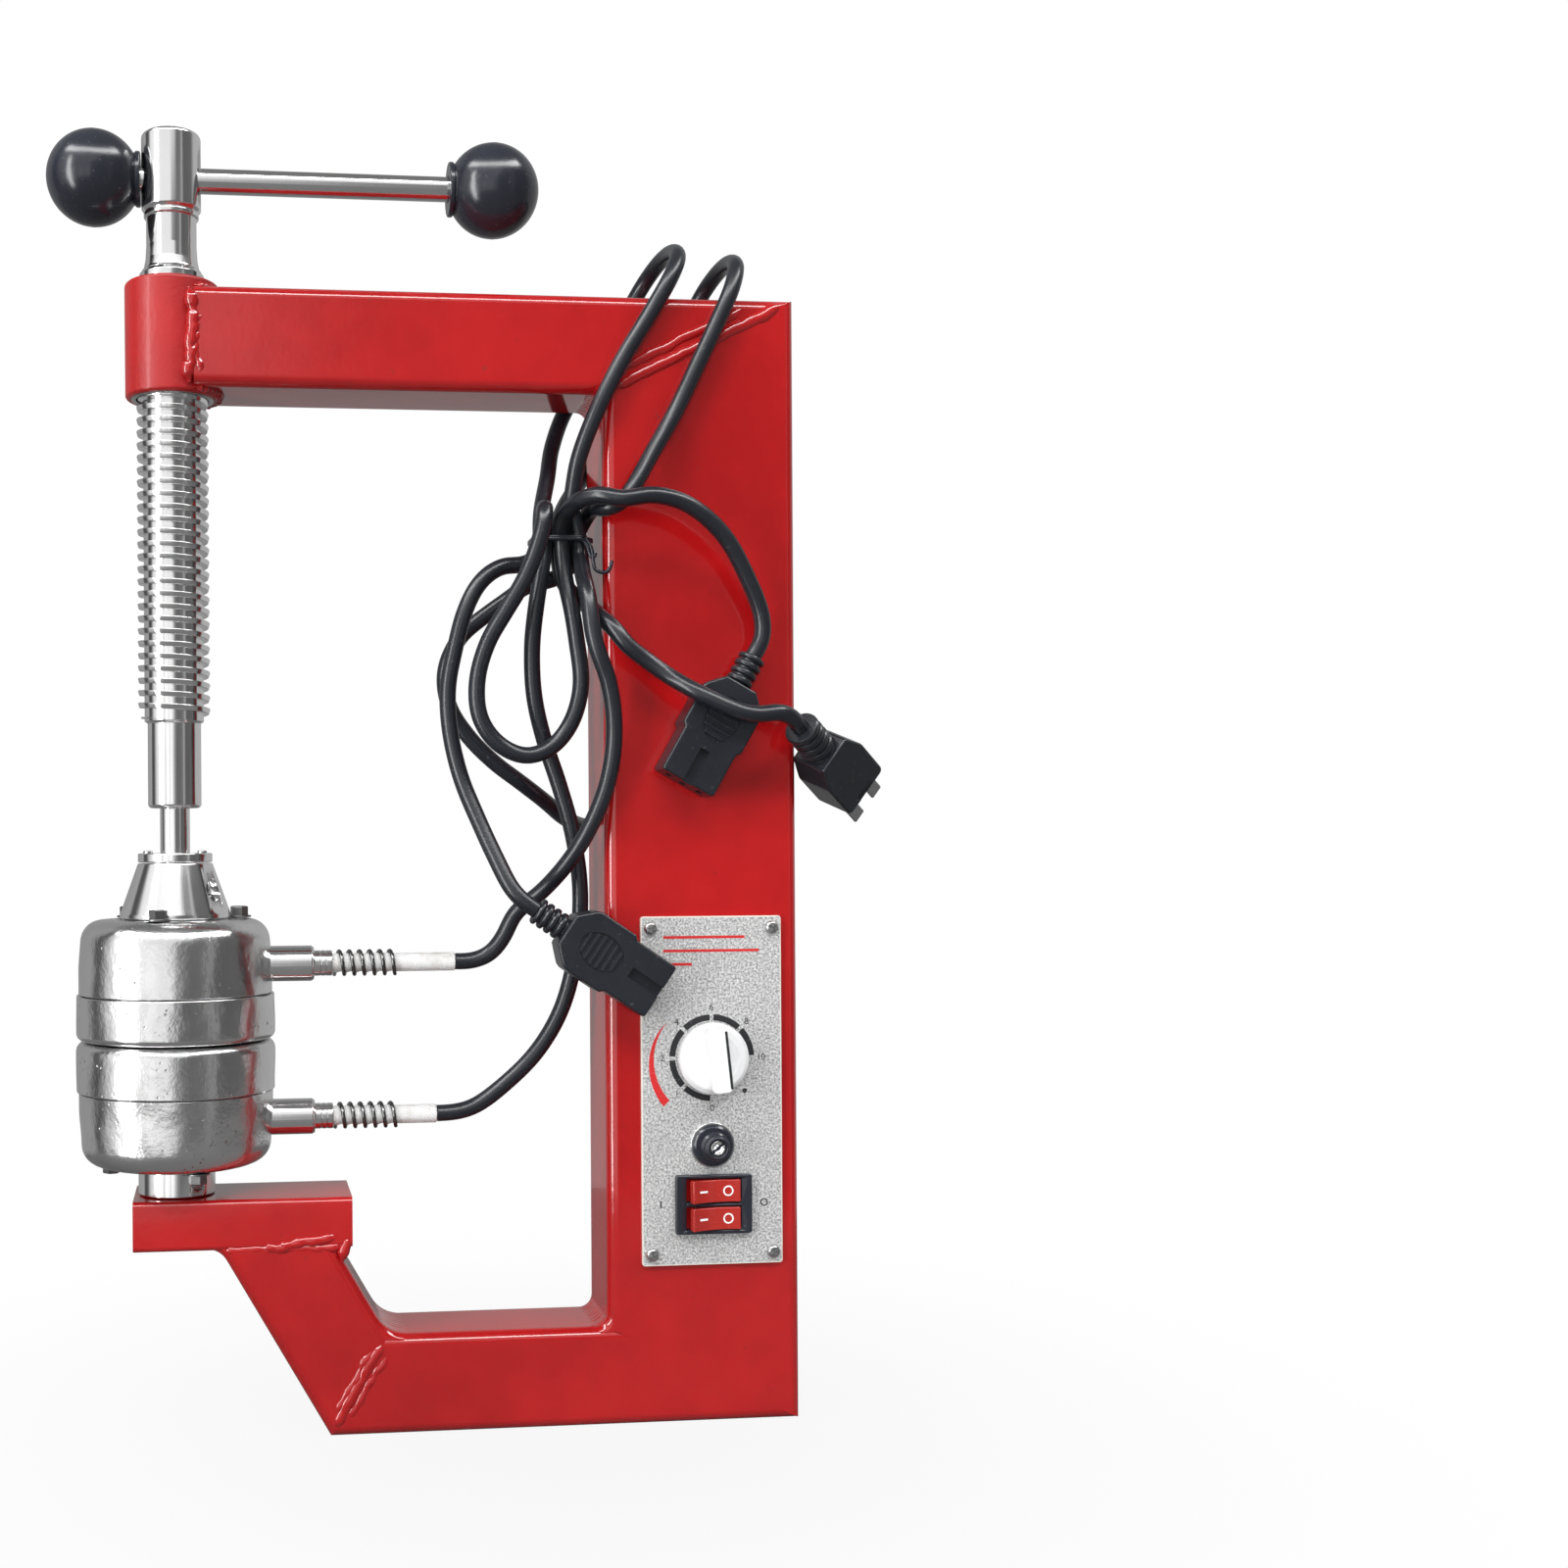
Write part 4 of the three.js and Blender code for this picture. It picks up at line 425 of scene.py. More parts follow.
middle = tube_side / 2
column_middle = (column_left + column_right) / 2
slope = tube_side / column_width
upper_mitre = ((column_right, 0, frame_height), (-slope, 0, 1))
lower_mitre = ((column_right, 0, 0), (slope, 0, 1))
leg_mitre = ((foot_left, 0, 0), (math.cos(leg_lean), 0, -math.sin(leg_lean)))
leg_top = ((0, 0, anvil_top - anvil_height - 0.15), (0, 0, 1))
leg_along = (-math.sin(leg_lean), 0, math.cos(leg_lean))
leg_across = (math.cos(leg_lean), 0, math.sin(leg_lean))
leg_middle = Vector((foot_left, 0, 0)) + Vector(leg_across) * middle
arm_end, anvil_left, anvil_right = [((screw_x + x, 0, 0), (1, 0, 0)) for x in (9, -17, 70)]
square = rectangle(tube_side, tube_side, tube_corner)
along_x = ((0, 1, 0), (0, 0, 1), (1, 0, 0))
tubes = {
    "column_tube": (
        rectangle(column_width, tube_side, tube_corner),
        (1, 0, 0), (0, 1, 0), (0, 0, 1), (column_middle, 0, 0), (lower_mitre, upper_mitre),
    ),
    "upper_arm_tube": (square, *along_x, (0, 0, frame_height - middle), (arm_end, upper_mitre)),
    "lower_arm_tube": (square, *along_x, (0, 0, middle), (leg_mitre, lower_mitre)),
    "slant_leg_tube": (
        square, leg_across, (0, 1, 0), leg_along, leg_middle, (leg_mitre, leg_top)
    ),
    "anvil_block": (
        rectangle(tube_side, anvil_height, 2.2),
        *along_x, (0, 0, anvil_top - anvil_height / 2), (anvil_left, anvil_right),
    ),
}
for node, shape in tubes.items():
    tube = made_piece("enamelled_" + node, between_planes(*shape), red_enamel)
    if node == "column_tube":
        carve(tube, *[box(28, 30, 20.6, column_middle, 20, z) for z in inlet_heights])
    dress(tube, node)


# Nut boss.
# A turned steel nut welded to the upper arm's end and painted with it; the machined rim round
# the thread below stays bare.
def turned(points, sides=96, middle=(0, 0, 0), axis="Z", turns=5, dent=0, grain=20):
    """A mesh turned about an axis from (radius, height) points, closed on the axis or a ring."""
    outline = rounded(points, turns)
    n = len(outline)
    vertices = []
    faces = []
    for i in range(sides):
        x, y = math.cos(2 * math.pi * i / sides), math.sin(2 * math.pi * i / sides)
        after = (i + 1) % sides * n
        for j, (radius, height) in enumerate(outline):
            ahead = (j + 1) % n
            if radius or outline[ahead][0]:
                faces.append((i * n + j, after + j, after + ahead, i * n + ahead))
            if dent and radius:
                radius += dent * noise.noise(Vector((x, y, height / grain)) * 2.2)
            vertices.append(Vector((radius * x, radius * y, height)))
    tilts = {"Z": (0, "X"), "-Z": (math.pi, "X"), "X": (math.pi / 2, "Y"), "-X": (-math.pi / 2, "Y")}
    tilt, about = tilts[axis]
    turn = Matrix.Rotation(tilt, 3, about)
    return solid([turn @ v + Vector(middle) for v in vertices], faces, True)


on_axis = (screw_x, 0, 0)
boss_radius = 19
boss_bottom = 417.9
boss_top = 464.5
boss_points = [
    (16, boss_bottom, 0.4), (boss_radius, boss_bottom, 1.6), (boss_radius, boss_top, 1.6),
    (14.7, boss_top, 0.8),
]
boss = turned(boss_points, middle=on_axis, dent=0.25)
put("enamelled_nut_boss", boss, brushed_enamel, "nut_boss")


def metal(name, tone, gloss, scratch=0.25, cloudy=0.12, pits=0):
    look = Look(name)
    haze = look.cloud(32, 5, 0.6)
    lengthwise = look.node("Mapping", {"Vector": look.place, "Scale": (1, 1, 0.05)})
    streaks = look.cloud(260, 4, 0.7, lengthwise)
    colour = look.mix(grey(tone * (1 - cloudy)), grey(tone), haze)
    rough = gloss + haze * 0.10 + streaks * scratch * 0.2
    relief = look.bump(streaks, scratch * 0.25, 0.0002)
    if pits:
        spots = 1 - look.step(look.cells(330), 0.10, 0.22)
        rare = look.step(look.cloud(60, 3), 0.52, 0.62)
        colour = look.mix(colour, grey(0.10), spots * rare * pits)
        rough = rough + spots * rare * 0.3
        relief = look.bump(look.cloud(75, 5, 0.6), 0.45, 0.0011, Normal=relief)
        relief = look.bump(spots * rare * -1, 0.5, 0.0003, Normal=relief)
        relief = look.bump(look.cloud(700, 4, 0.7), 0.12, 0.0004, Normal=relief)
    return look.surface(colour, rough, relief, Metallic=1.0)


chrome = metal("chrome", 0.83, 0.06)
steel = metal("steel", 0.50, 0.20)
dark_steel = metal("dark_steel", 0.22, 0.25)
spring_steel = metal("spring_steel", 0.16, 0.16)
aluminium = metal("polished_aluminium", 0.74, 0.10, 0.4, 0.2, 0.8)
rim_points = [(14.7, 417.5, 0.5), (16.6, 417.5, 0.8), (16.9, 419.4), (14.7, 419.4)]
put("bare_nut_rim", turned(rim_points, middle=on_axis), steel)


# Weld beads.
# Arc welds along every mitre and round the boss, rippled by hand and painted over with the rest.
def started_tree(name, *inputs):
    """An empty Geometry Nodes tree with these inputs, and the inputs by name."""
    group = bpy.data.node_groups.new(name, "GeometryNodeTree")
    group.interface.new_socket("Geometry", in_out="OUTPUT", socket_type="NodeSocketGeometry")
    kinds = {"Geometry": "Geometry", "Shape": "Object", "Seed": "Int", "Finish": "Material"}
    for key in ("Geometry", *inputs, "Finish"):
        kind = "NodeSocket" + kinds.get(key, "Float")
        group.interface.new_socket(key, in_out="INPUT", socket_type=kind)
    tree = Tree(group, "GeometryNode")
    given = tree.node("NodeGroupInput")
    return tree, {s.name: Wire(tree, s) for s in given.socket.node.outputs}


def ended_tree(tree, inputs, result, smooth=True):
    """The tree, whose result is made real, shaded smooth and given the finish."""
    result = tree.node("RealizeInstances", {"Geometry": result})
    if smooth:
        result = tree.node("SetShadeSmooth", {"Geometry": result})
    result = tree.node("SetMaterial", {"Geometry": result, "Material": inputs["Finish"]})
    tree.node("NodeGroupOutput", {0: result})
    return tree.nodes


def swept(tree, curve, sides, radius, **scale):
    """A round rod along a curve."""
    ring = {"Resolution": sides, "Radius": radius}
    ring = tree.node("CurvePrimitiveCircle", ring, mode="RADIUS")
    values = {"Curve": curve, "Profile Curve": ring, "Fill Caps": True}
    return tree.node("CurveToMesh", {**values, **scale})


def bead_tree():
    """Geometry Nodes: a rippled bead along the object's curve, thinner towards its ends."""
    names = ("Radius", "Ripple Pitch", "Ripple Depth", "Lumps", "Taper")
    tree, inputs = started_tree("weld_bead", *names)
    even = {"Curve": inputs["Geometry"], "Length": inputs["Ripple Pitch"] / 5}
    even = tree.node("ResampleCurve", even, mode="LENGTH")
    run = tree.node("SplineParameter", out=1)
    whole = tree.node("SplineLength")
    wave = run.math("SINE", run / inputs["Ripple Pitch"] * (2 * math.pi))
    lumps = tree.node("ShaderNodeTexNoise", {"Scale": 260.0, "Detail": 2.0})
    swell = inputs["Radius"] * (1 + (lumps - 0.5) * inputs["Lumps"]) + inputs["Ripple Depth"] * wave
    to_end = run.math("MINIMUM", run, whole - run) / inputs["Taper"]
    swell = swell * (tree.step(to_end, 0.0, 1.0) * 0.75 + 0.25)
    return ended_tree(tree, inputs, swept(tree, even, 12, 1.0, Scale=swell))


def line(points):
    """A curve object through points in millimetres."""
    data = bpy.data.curves.new("line", "CURVE")
    data.dimensions = "3D"
    spline = data.splines.new("POLY")
    spline.points.add(len(points) - 1)
    for slot, point in zip(spline.points, points):
        slot.co = (*(Vector(point) * MM), 1)
    return linked("line", data)


def grown(name, base, group, **sizes):
    """The plain mesh that a Geometry Nodes tree grows on an object."""
    growth = base.modifiers.new("growth", "NODES")
    growth.node_group = group
    for item in group.interface.items_tree:
        key = item.name.lower().replace(" ", "_")
        if item.in_out == "INPUT" and key in sizes:
            growth[item.identifier] = sizes[key]
    base.name = name + "_base"
    piece = bake_modifiers(base)
    piece.name = name
    return piece


def seam(start, end, wander, seed, step=1.5):
    """Points from start to end that wander a little, as a hand-laid bead does."""
    start, end = Vector(start), Vector(end)
    across = (end - start).normalized().cross(Vector((0, 1, 0)))
    count = round((end - start).length / step)
    points = []
    for i in range(count + 1):
        drift = noise.noise(Vector((i * step * 0.12, seed * 5.3, 0)))
        drift += 0.5 * noise.noise(Vector((i * step * 0.45, seed * 5.3, 7)))
        points.append(start.lerp(end, i / count) + across * (wander * drift * 2))
    return points


weld_bead = bead_tree()


def laid_bead(name, path, radius, pitch, depth, lumps, taper=4.0):
    sizes = {"radius": radius, "ripple_pitch": pitch, "ripple_depth": depth, "taper": taper}
    sizes = {key: value * MM for key, value in sizes.items()}
    dress(grown(name, line(path), weld_bead, lumps=lumps, finish=red_enamel, **sizes))


face = 18.4
straight_welds = {
    "upper_mitre_*": ((17, face, 420.5), (94, face, 458.6), (0.35, 1), (3.0, 6, 0.04, 0.25, 9)),
    "upper_mitre_*_second": (
        (21, face, 428.5), (78, face, 457), (0.45, 2), (2.7, 6, 0.04, 0.3, 9)
    ),
    "leg_mitre_*_1": ((-75, face, 38.5), (-96, face, 2.6), (0.8, 3), (2.7, 7, 0.12, 0.5, 5)),
    "leg_mitre_*_2": ((-78.5, face, 36.5), (-95, face, 7.5), (0.8, 4), (2.3, 7, 0.12, 0.5, 5)),
    "leg_mitre_*_3": ((-72.6, face, 34.5), (-90, face, 5), (0.8, 5), (2.1, 7, 0.12, 0.5, 5)),
    "leg_top_*": ((-128, face, 75.2), (-88.6, face, 81.2), (0.7, 7), (2.7, 6, 0.15, 0.6, 12)),
    "anvil_seam_*": ((-139, 18.1, 75.9), (-91, face, 75.9), (0.3, 17), (2.0, 6, 0.1, 0.4, 3)),
    "leg_shoulder_*": ((-88.8, face, 81), (-91.8, face, 69.5), (0.5, 8), (2.4, 5, 0.15, 0.7, 4)),
    "boss_*": ((-149.6, face, 421), (-149.8, face, 459), (1.3, 9, 1), (2.7, 5.3, 0.15, 0.9, 4)),
    "boss_*_second": (
        (-147.4, 18.8, 423), (-147, face, 450), (1.2, 10, 1), (1.7, 4.1, 0.15, 1.1, 4)
    ),
}
for side, way in (("front", -1), ("back", 1)):
    for name, (start, end, drift, bead) in straight_welds.items():
        path = seam(*[(x, way * y, z) for x, y, z in (start, end)], *drift)
        laid_bead("weld_" + name.replace("*", side), path, *bead)

arm_bottom = frame_height - tube_side
leg_slope = math.tan(leg_lean)
leg_right = foot_left + tube_side / math.cos(leg_lean)
leg_end = anvil_top - anvil_height
inner_corners = {
    "upper": (column_left, arm_bottom, 180, 90, 5),
    "lower": (column_left, tube_side, 90, 90, 5.5),
    "leg": (leg_right - tube_side * leg_slope, tube_side, 0, 120, 8),
    "anvil_left": (foot_left - leg_end * leg_slope, leg_end, 180, 120, 5.5),
    "anvil_right": (leg_right - leg_end * leg_slope, leg_end, 300, 60, 6),
}


def fillet_weld(name, x, z, first, opening, reach, seed):
    """A hollow weld across the corner whose open side spans these angles, from rim to rim."""
    half = math.radians(opening) / 2
    bisector = math.radians(first) + half
    outward = Vector((math.cos(bisector), 0, math.sin(bisector)))
    rings = []
    for i in range(49):
        y = 38.8 * (i / 48 - 0.5)
        past = max(0, abs(y) - middle + tube_corner)
        sunk = (tube_corner - math.sqrt(tube_corner ** 2 - past ** 2)) / math.sin(half)
        ripple = 0.22 * math.sin(y * 1.9 + seed) + 0.5 * noise.noise(Vector((y * 0.35, seed, 0)))
        radius = (reach + ripple) * math.tan(half)
        ring = [outward * -(sunk + 2.5)]
        for j in range(9):
            turn = bisector + math.pi + (math.pi / 2 - half) * (j / 4 - 1)
            hollow = radius * Vector((math.cos(turn), 0, math.sin(turn)))
            ring.append(outward * (radius / math.sin(half) - sunk) + hollow)
        rings.append([point + Vector((x, y, z)) for point in ring])
    put(name, lofted(rings), red_enamel, smooth_below=50)


for i, (corner, facts) in enumerate(inner_corners.items()):
    fillet_weld(f"weld_{corner}_inner_corner", *facts, 20 + i)
seat_angles = [math.radians(a) for a in range(-62, 63, 4)]
seats = [(boss_radius * math.cos(a), boss_radius * math.sin(a)) for a in seat_angles]
for name, height in (("over", frame_height + 0.2), ("under", arm_bottom - 0.2)):
    laid_bead("weld_boss_" + name, [(screw_x + x, y, height) for x, y in seats], 1.8, 2.4, 0.3, 0.8)


# Spindle.
# One chromed steel screw: hub, neck and collar at the top, the trapezoidal thread, the plain
# part and the thin neck that turns in the foot.
thread_bottom = 287
bar_height = 507.5
hub_points = [
    (0, 464.8), (11.6, 464.8), (13, 465.8, 0.7), (13, 468.4, 0.6), (11.3, 470.6, 3),
    (10.5, 474.6, 4), (10.15, 480, 1), (10.15, 491.4, 0.3), (11.1, 491.9, 0.4),
    (11.1, 493.4, 0.4), (10.5, 493.9, 0.3), (12, 495.2, 0.8), (12, 525.6, 1.8), (0, 525.6),
]
shank_points = [
    (0, 213.1), (6.5, 213.1), (6.5, 223.5), (9, 223.5, 0.5), (9, 229.5, 0.5), (6, 229.5, 0.4),
    (6, 252.3, 0.4), (10.75, 252.3, 1.6), (10.75, 286.6, 0.5), (11.95, 287.4, 0.4),
    (11.95, 470), (0, 470),
]
bar_hole_points = [(0, -20), (5.35, -20), (5.35, 20), (0, 20)]
bar_hole = turned(bar_hole_points, 48, (screw_x, 0, bar_height), "X")
hub = made_piece("spindle_hub", turned(hub_points, middle=on_axis, turns=4), chrome)
dress(carve(hub, bar_hole), body="screw")
shank = turned(shank_points, middle=on_axis, turns=4)
put("spindle_shank", shank, chrome, "screw_spindle", body="screw")


def helix(tree, inputs, resolution, height):
    values = {"Resolution": resolution, "Rotations": inputs["Turns"], "Height": height}
    ends = {"Start Radius": inputs["Radius"], "End Radius": inputs["Radius"]}
    return tree.node("CurveSpiral", {**values, **ends})


def thread_tree():
    """Geometry Nodes: a trapezoidal ridge wound round Z, fading out at both ends."""
    names = ("Radius", "Depth", "Crest", "Foot", "Pitch", "Turns", "Corner")
    tree, inputs = started_tree("lead_thread", *names)
    wound = helix(tree, inputs, 40, inputs["Turns"] * inputs["Pitch"])
    wound = tree.node("SetCurveNormal", {"Curve": wound}, mode="Z_UP")
    ridge = {"Bottom Width": inputs["Foot"], "Top Width": inputs["Crest"]}
    ridge = {**ridge, "Height": inputs["Depth"], "Offset": 0.0}
    ridge = tree.node("CurvePrimitiveQuadrilateral", ridge, mode="TRAPEZOID")
    ridge = {"Curve": ridge, "Count": 3, "Radius": inputs["Corner"]}
    ridge = tree.node("FilletCurve", ridge, mode="POLY")
    turn = tree.node("SplineParameter") * inputs["Turns"]
    fade = tree.step(turn, 0.0, 0.6) - tree.step(turn - inputs["Turns"], -0.4, 0.0)
    values = {"Curve": wound, "Profile Curve": ridge, "Fill Caps": True}
    thread = tree.node("CurveToMesh", {**values, "Scale": fade * 0.9 + 0.1})
    return ended_tree(tree, inputs, thread, False)


def seed_object():
    """An empty mesh for a tree that needs no base."""
    return linked("seed", bpy.data.meshes.new("seed"))


thread_pitch = 5
thread_start = thread_bottom + 1
thread_sizes = {"radius": 12.9, "depth": 2.3, "crest": 2.25, "foot": 3.5, "corner": 0.35}
thread_sizes = {key: value * MM for key, value in thread_sizes.items()}
thread_sizes.update({"pitch": thread_pitch * MM, "turns": 35.4, "finish": chrome})
thread = grown("lead_thread", seed_object(), thread_tree(), **thread_sizes)
thread_origin = thread_bottom - 2 * thread_pitch + thread_pitch / 2
first_turn = (thread_start - thread_origin) / thread_pitch * 2 * math.pi
to_start = Matrix.Translation(Vector((screw_x, 0, thread_start)) * MM)
thread.data.transform(to_start @ Matrix.Rotation(first_turn, 4, "Z"))
thread.data.shade_smooth()
thread.data.set_sharp_from_angle(angle=math.radians(40))
dress(thread, body="screw")


# Tommy bar and ball knobs.
# A chromed bar that slides through the hub, with a moulded dark ball pressed on each end.
def plastic(name, dark, light, gloss, relief=0.1, scale=300.0, coat=0.0):
    look = Look(name)
    haze = look.cloud(40, 4)
    dust = look.step(look.cloud(500, 3, 0.7), 0.62, 0.72)
    colour = look.mix(look.mix(dark, light, haze), grey(0.28), dust * 0.10)
    rough = gloss + haze * 0.12 + dust * 0.12
    fine = look.bump(look.cloud(scale, 3), relief, 0.0004)
    return look.surface(colour, rough, fine, Coat_Weight=coat)


black_plastic = plastic("black_plastic", (0.012, 0.013, 0.019, 1), (0.022, 0.024, 0.034, 1), 0.14)
bar_points = [(0, -193.5), (5, -193.5, 1), (5, -20.5, 1), (0, -20.5)]
bar = turned(bar_points, 48, (0, 0, bar_height), "X")
put("polished_tommy_bar", bar, chrome, "tommy_bar", body="tommy_bar")
ball_radius = 19


def ball_outline():
    """The ball with its moulding seam, and the collar that grips the bar."""
    points = [(0, -ball_radius)]
    meet = math.asin(10.4 / ball_radius)
    for i in range(1, 49):
        polar = math.pi - (math.pi - meet) * i / 48
        radius = ball_radius + 0.22 * math.exp(-(((math.degrees(polar) - 90) / 1.1) ** 2))
        points.append((radius * math.sin(polar), radius * math.cos(polar)))
    collar = [(10.2, 16.4), (10.9, 17.0, 0.3), (10.9, 18.7, 0.6), (5.35, 18.7, 0.4), (5.35, -5.3)]
    return points + rounded(collar, 3) + [(0, -5.3)]


for side, x, axis in (("left", -188.5, "X"), ("right", -25.5, "-X")):
    ball = turned(ball_outline(), 64, (x, 0, bar_height), axis)
    put("moulded_ball_" + side, ball, black_plastic, "ball_knob_" + side, body="tommy_bar")


# Pressure foot.
# A chromed cone that swivels on the spindle's end, closed by a split keeper ring with two small
# slotted screws and held by a socket screw sunk in its side.
foot_points = [
    (0, 203.6), (8, 203.6), (8, 207.6), (22.3, 207.6, 0.5), (22.3, 209.4, 0.6), (15, 230, 0.7),
    (9.7, 230, 0.4), (9.7, 213), (0, 213),
]
foot = made_piece("chromed_pressure_foot", turned(foot_points, middle=on_axis, turns=4), chrome)


def moved(mesh, x=0, y=0, z=0):
    """The mesh, shifted."""
    mesh.transform(Matrix.Translation((x, y, z)))
    return mesh


def pointing(angle, height):
    """Turns a form built along X about the screw axis, at this height."""
    turn = Matrix.Rotation(math.radians(angle), 4, "Z")
    return Matrix.Translation((screw_x, 0, height)) @ turn


def pin(radius, start, end, sides=32):
    """A plain round or polygonal rod along X, for cutting."""
    return turned([(0, start), (radius, start), (radius, end), (0, end)], sides, axis="X")


def carved(mesh, *cutters, place=Matrix()):
    """The mesh, put in place, with the cutters taken out of it, all in millimetres."""
    piece = carve(made_piece("carved", mesh, steel, place), *cutters, place=place)
    mesh = piece.data
    bpy.data.objects.remove(piece)
    mesh.transform(Matrix.Scale(1 / MM, 4))
    return mesh


def socket_screw(name, radius, hexagon, start, end, place):
    """A headless screw along X with a hexagon socket in its outer end."""
    points = [(0, start), (radius, start, 0.4), (radius, end, 0.5), (0, end)]
    screw = carved(turned(points, 48, axis="X", turns=3), pin(hexagon, end - 3, end + 1, 6))
    return made_piece(name, screw, steel, place)


foot_screw_place = pointing(-35, 218.6)
carve(foot, pin(4.3, 0, 26), place=foot_screw_place)
dress(foot, "pressure_foot", body="pressure_head")
foot_screw = socket_screw("steel_foot_set_screw", 4, 2.1, 6.8, 13.8, foot_screw_place)
dress(foot_screw, "foot_set_screw", body="pressure_head")
ring_points = [(6.6, 230.3, 0.3), (15, 230.3, 0.6), (15, 234, 0.6), (6.6, 234, 0.3)]
ring = made_piece("chromed_keeper_ring", turned(ring_points, middle=on_axis), chrome)
dress(carve(ring, box(13.2, 16, 6, screw_x, 8, 232.2)), "foot_keeper_ring", body="pressure_head")


def fastener_tree():
    """Geometry Nodes: a copy of the shape on each point, turned by chance about its own axis."""
    tree, inputs = started_tree("fasteners", "Shape", "Seed")
    shape = tree.node("ObjectInfo", {"Object": inputs["Shape"]}, "Geometry")
    values = {2: 0.0, 3: 2 * math.pi, "Seed": inputs["Seed"]}
    chance = tree.node("FunctionNodeRandomValue", values, 1, data_type="FLOAT")
    spin = tree.node("ShaderNodeCombineXYZ", {"Z": chance})
    values = {"Points": inputs["Geometry"], "Instance": shape, "Rotation": spin}
    return ended_tree(tree, inputs, tree.node("InstanceOnPoints", values), False)


fasteners = fastener_tree()


def set_fasteners(name, mesh, points, place, finish, seed=1):
    """One piece: the mesh's copies on the points, in millimetres, then put in place."""
    shape = made_piece(name + "_shape", mesh, finish, smooth_below=30)
    spots = bpy.data.meshes.new("spots")
    spots.from_pydata([tuple(Vector((x, y, 0)) * MM) for x, y in points], [], [])
    piece = grown(name, linked("spots", spots), fasteners, shape=shape, seed=seed, finish=finish)
    bpy.data.objects.remove(shape)
    piece.data.transform(Matrix.Scale(MM, 4) @ place @ Matrix.Scale(1 / MM, 4))
    piece.data.set_sharp_from_angle(angle=math.radians(30))
    return piece


def moulded(outline, low, high, edge=0.3, turns=2, narrowing=0):
    """A solid with this outline from one height to another, its rims rounded."""
    count = len(outline)
    vertices = [(x, y, low) for x, y in outline]
    vertices += [(x - math.copysign(min(narrowing, abs(x)), x), y, high) for x, y in outline]
    sides = [(i, (i + 1) % count, count + (i + 1) % count, count + i) for i in range(count)]
    mesh = solid(vertices, [tuple(range(count)), tuple(range(count, 2 * count)), *sides])
    shape = bmesh.new()
    shape.from_mesh(mesh)
    rims = [e for e in shape.edges if abs(e.verts[0].co.z - e.verts[1].co.z) < 0.001]
    if edge:
        facts = {"offset": edge, "segments": turns, "profile": 0.5, "affect": "EDGES"}
        bmesh.ops.bevel(shape, geom=rims, **facts)
    return finished(shape)


ring_screw = turned([(0, 0), (1.9, 0), (1.9, 1.1, 0.4), (0, 1.3)], 24)
slotted = carved(ring_screw, moulded(rectangle(5, 0.5, 0.1), 0.8, 2, 0))
ring_top = Matrix.Translation((screw_x, 0, 233.9))
spots = [(-10.9, -1.5), (10.9, -1.5)]
keeper_screws = set_fasteners("steel_keeper_screws", slotted, spots, ring_top, steel)
dress(keeper_screws, body="pressure_head")


# Heater heads.
# Two cast aluminium pots, polished and dented in use. Each is a thick plate with a cover bolted
# over its element by three hexagon bolts with washers.
def subdivided(points, turns, step=2.0):
    """The rounded outline with no stretch longer than the step."""
    outline = rounded(points, turns)
    fine = []
    for i, here in enumerate(outline):
        ahead = outline[(i + 1) % len(outline)]
        count = max(1, int((ahead - here).length / step))
        fine += [here.lerp(ahead, j / count) for j in range(count)]
    return fine


heads = {"upper": "pressure_head", "lower": "frame"}
pots = {
    "upper_heating_plate": ([(0, 0), (40, 0, 2.6), (40, 18, 0.5), (0, 18)], 5),
    "upper_cover": (
        [(36.2, 18.3), (39.2, 18.3, 0.5), (38, 48.3, 9), (8.3, 48.3), (8.3, 44.3), (34, 44.3)], 9
    ),
    "lower_heating_plate": ([(0, 0), (40, 0, 4), (40, 20.3, 0.5), (0, 20.3)], 5),
    "lower_cover": (
        [(36.2, 20.6), (39.2, 20.6, 0.5), (38, 50.1, 9), (8.3, 50.1), (8.3, 46.1), (34, 46.1)], 9
    ),
}
for node, outline in pots.items():
    base, axis = (159, "Z") if node.startswith("upper") else (158.7, "-Z")
    dent = 0.45 if node.endswith("cover") else 0.35
    pot = turned(subdivided(*outline), 128, (screw_x, 0, base), axis, dent=dent, grain=26)
    body = heads[node[:5]]
    put("polished_" + node, pot, aluminium, node, body=body, smooth_below=30)

bolt_head = turned([(0, 0.8), (3.7, 0.8), (3.7, 4.4, 0.5), (2.9, 4.6), (0, 4.6)], 6)
washer = turned([(0, 0), (4.9, 0, 0.2), (4.9, 0.8, 0.2), (0, 0.8)], 32)
bolt_circle = 27
for head, first, height, tilt in (("upper", -103, 207.5, 0), ("lower", 71, 108.4, math.pi)):
    turns = [math.radians(first + 120 * i) for i in range(3)]
    spots = [(bolt_circle * math.cos(a), bolt_circle * math.sin(a)) for a in turns]
    place = Matrix.Translation((screw_x, 0, height)) @ Matrix.Rotation(tilt, 4, "X")
    bolt = merged(bolt_head, washer)
    bolts = set_fasteners(f"steel_{head}_cover_bolts", bolt, spots, place, dark_steel, 4)
    dress(bolts, *[f"{head}_cover_bolt_{i}" for i in (1, 2, 3)], body=heads[head])


def board(name, dark, light, scale):
    """A matt mineral board or felt: the finish of the pieces sealed inside."""
    look = Look(name)
    grain = look.cloud(scale, 6, 0.7)
    tone = look.mix(dark, light, look.step(grain + look.cells(scale * 2) * 0.3, 0.35, 0.75))
    return look.surface(tone, 0.7 + grain * 0.25, look.bump(grain, 0.4, 0.0005))


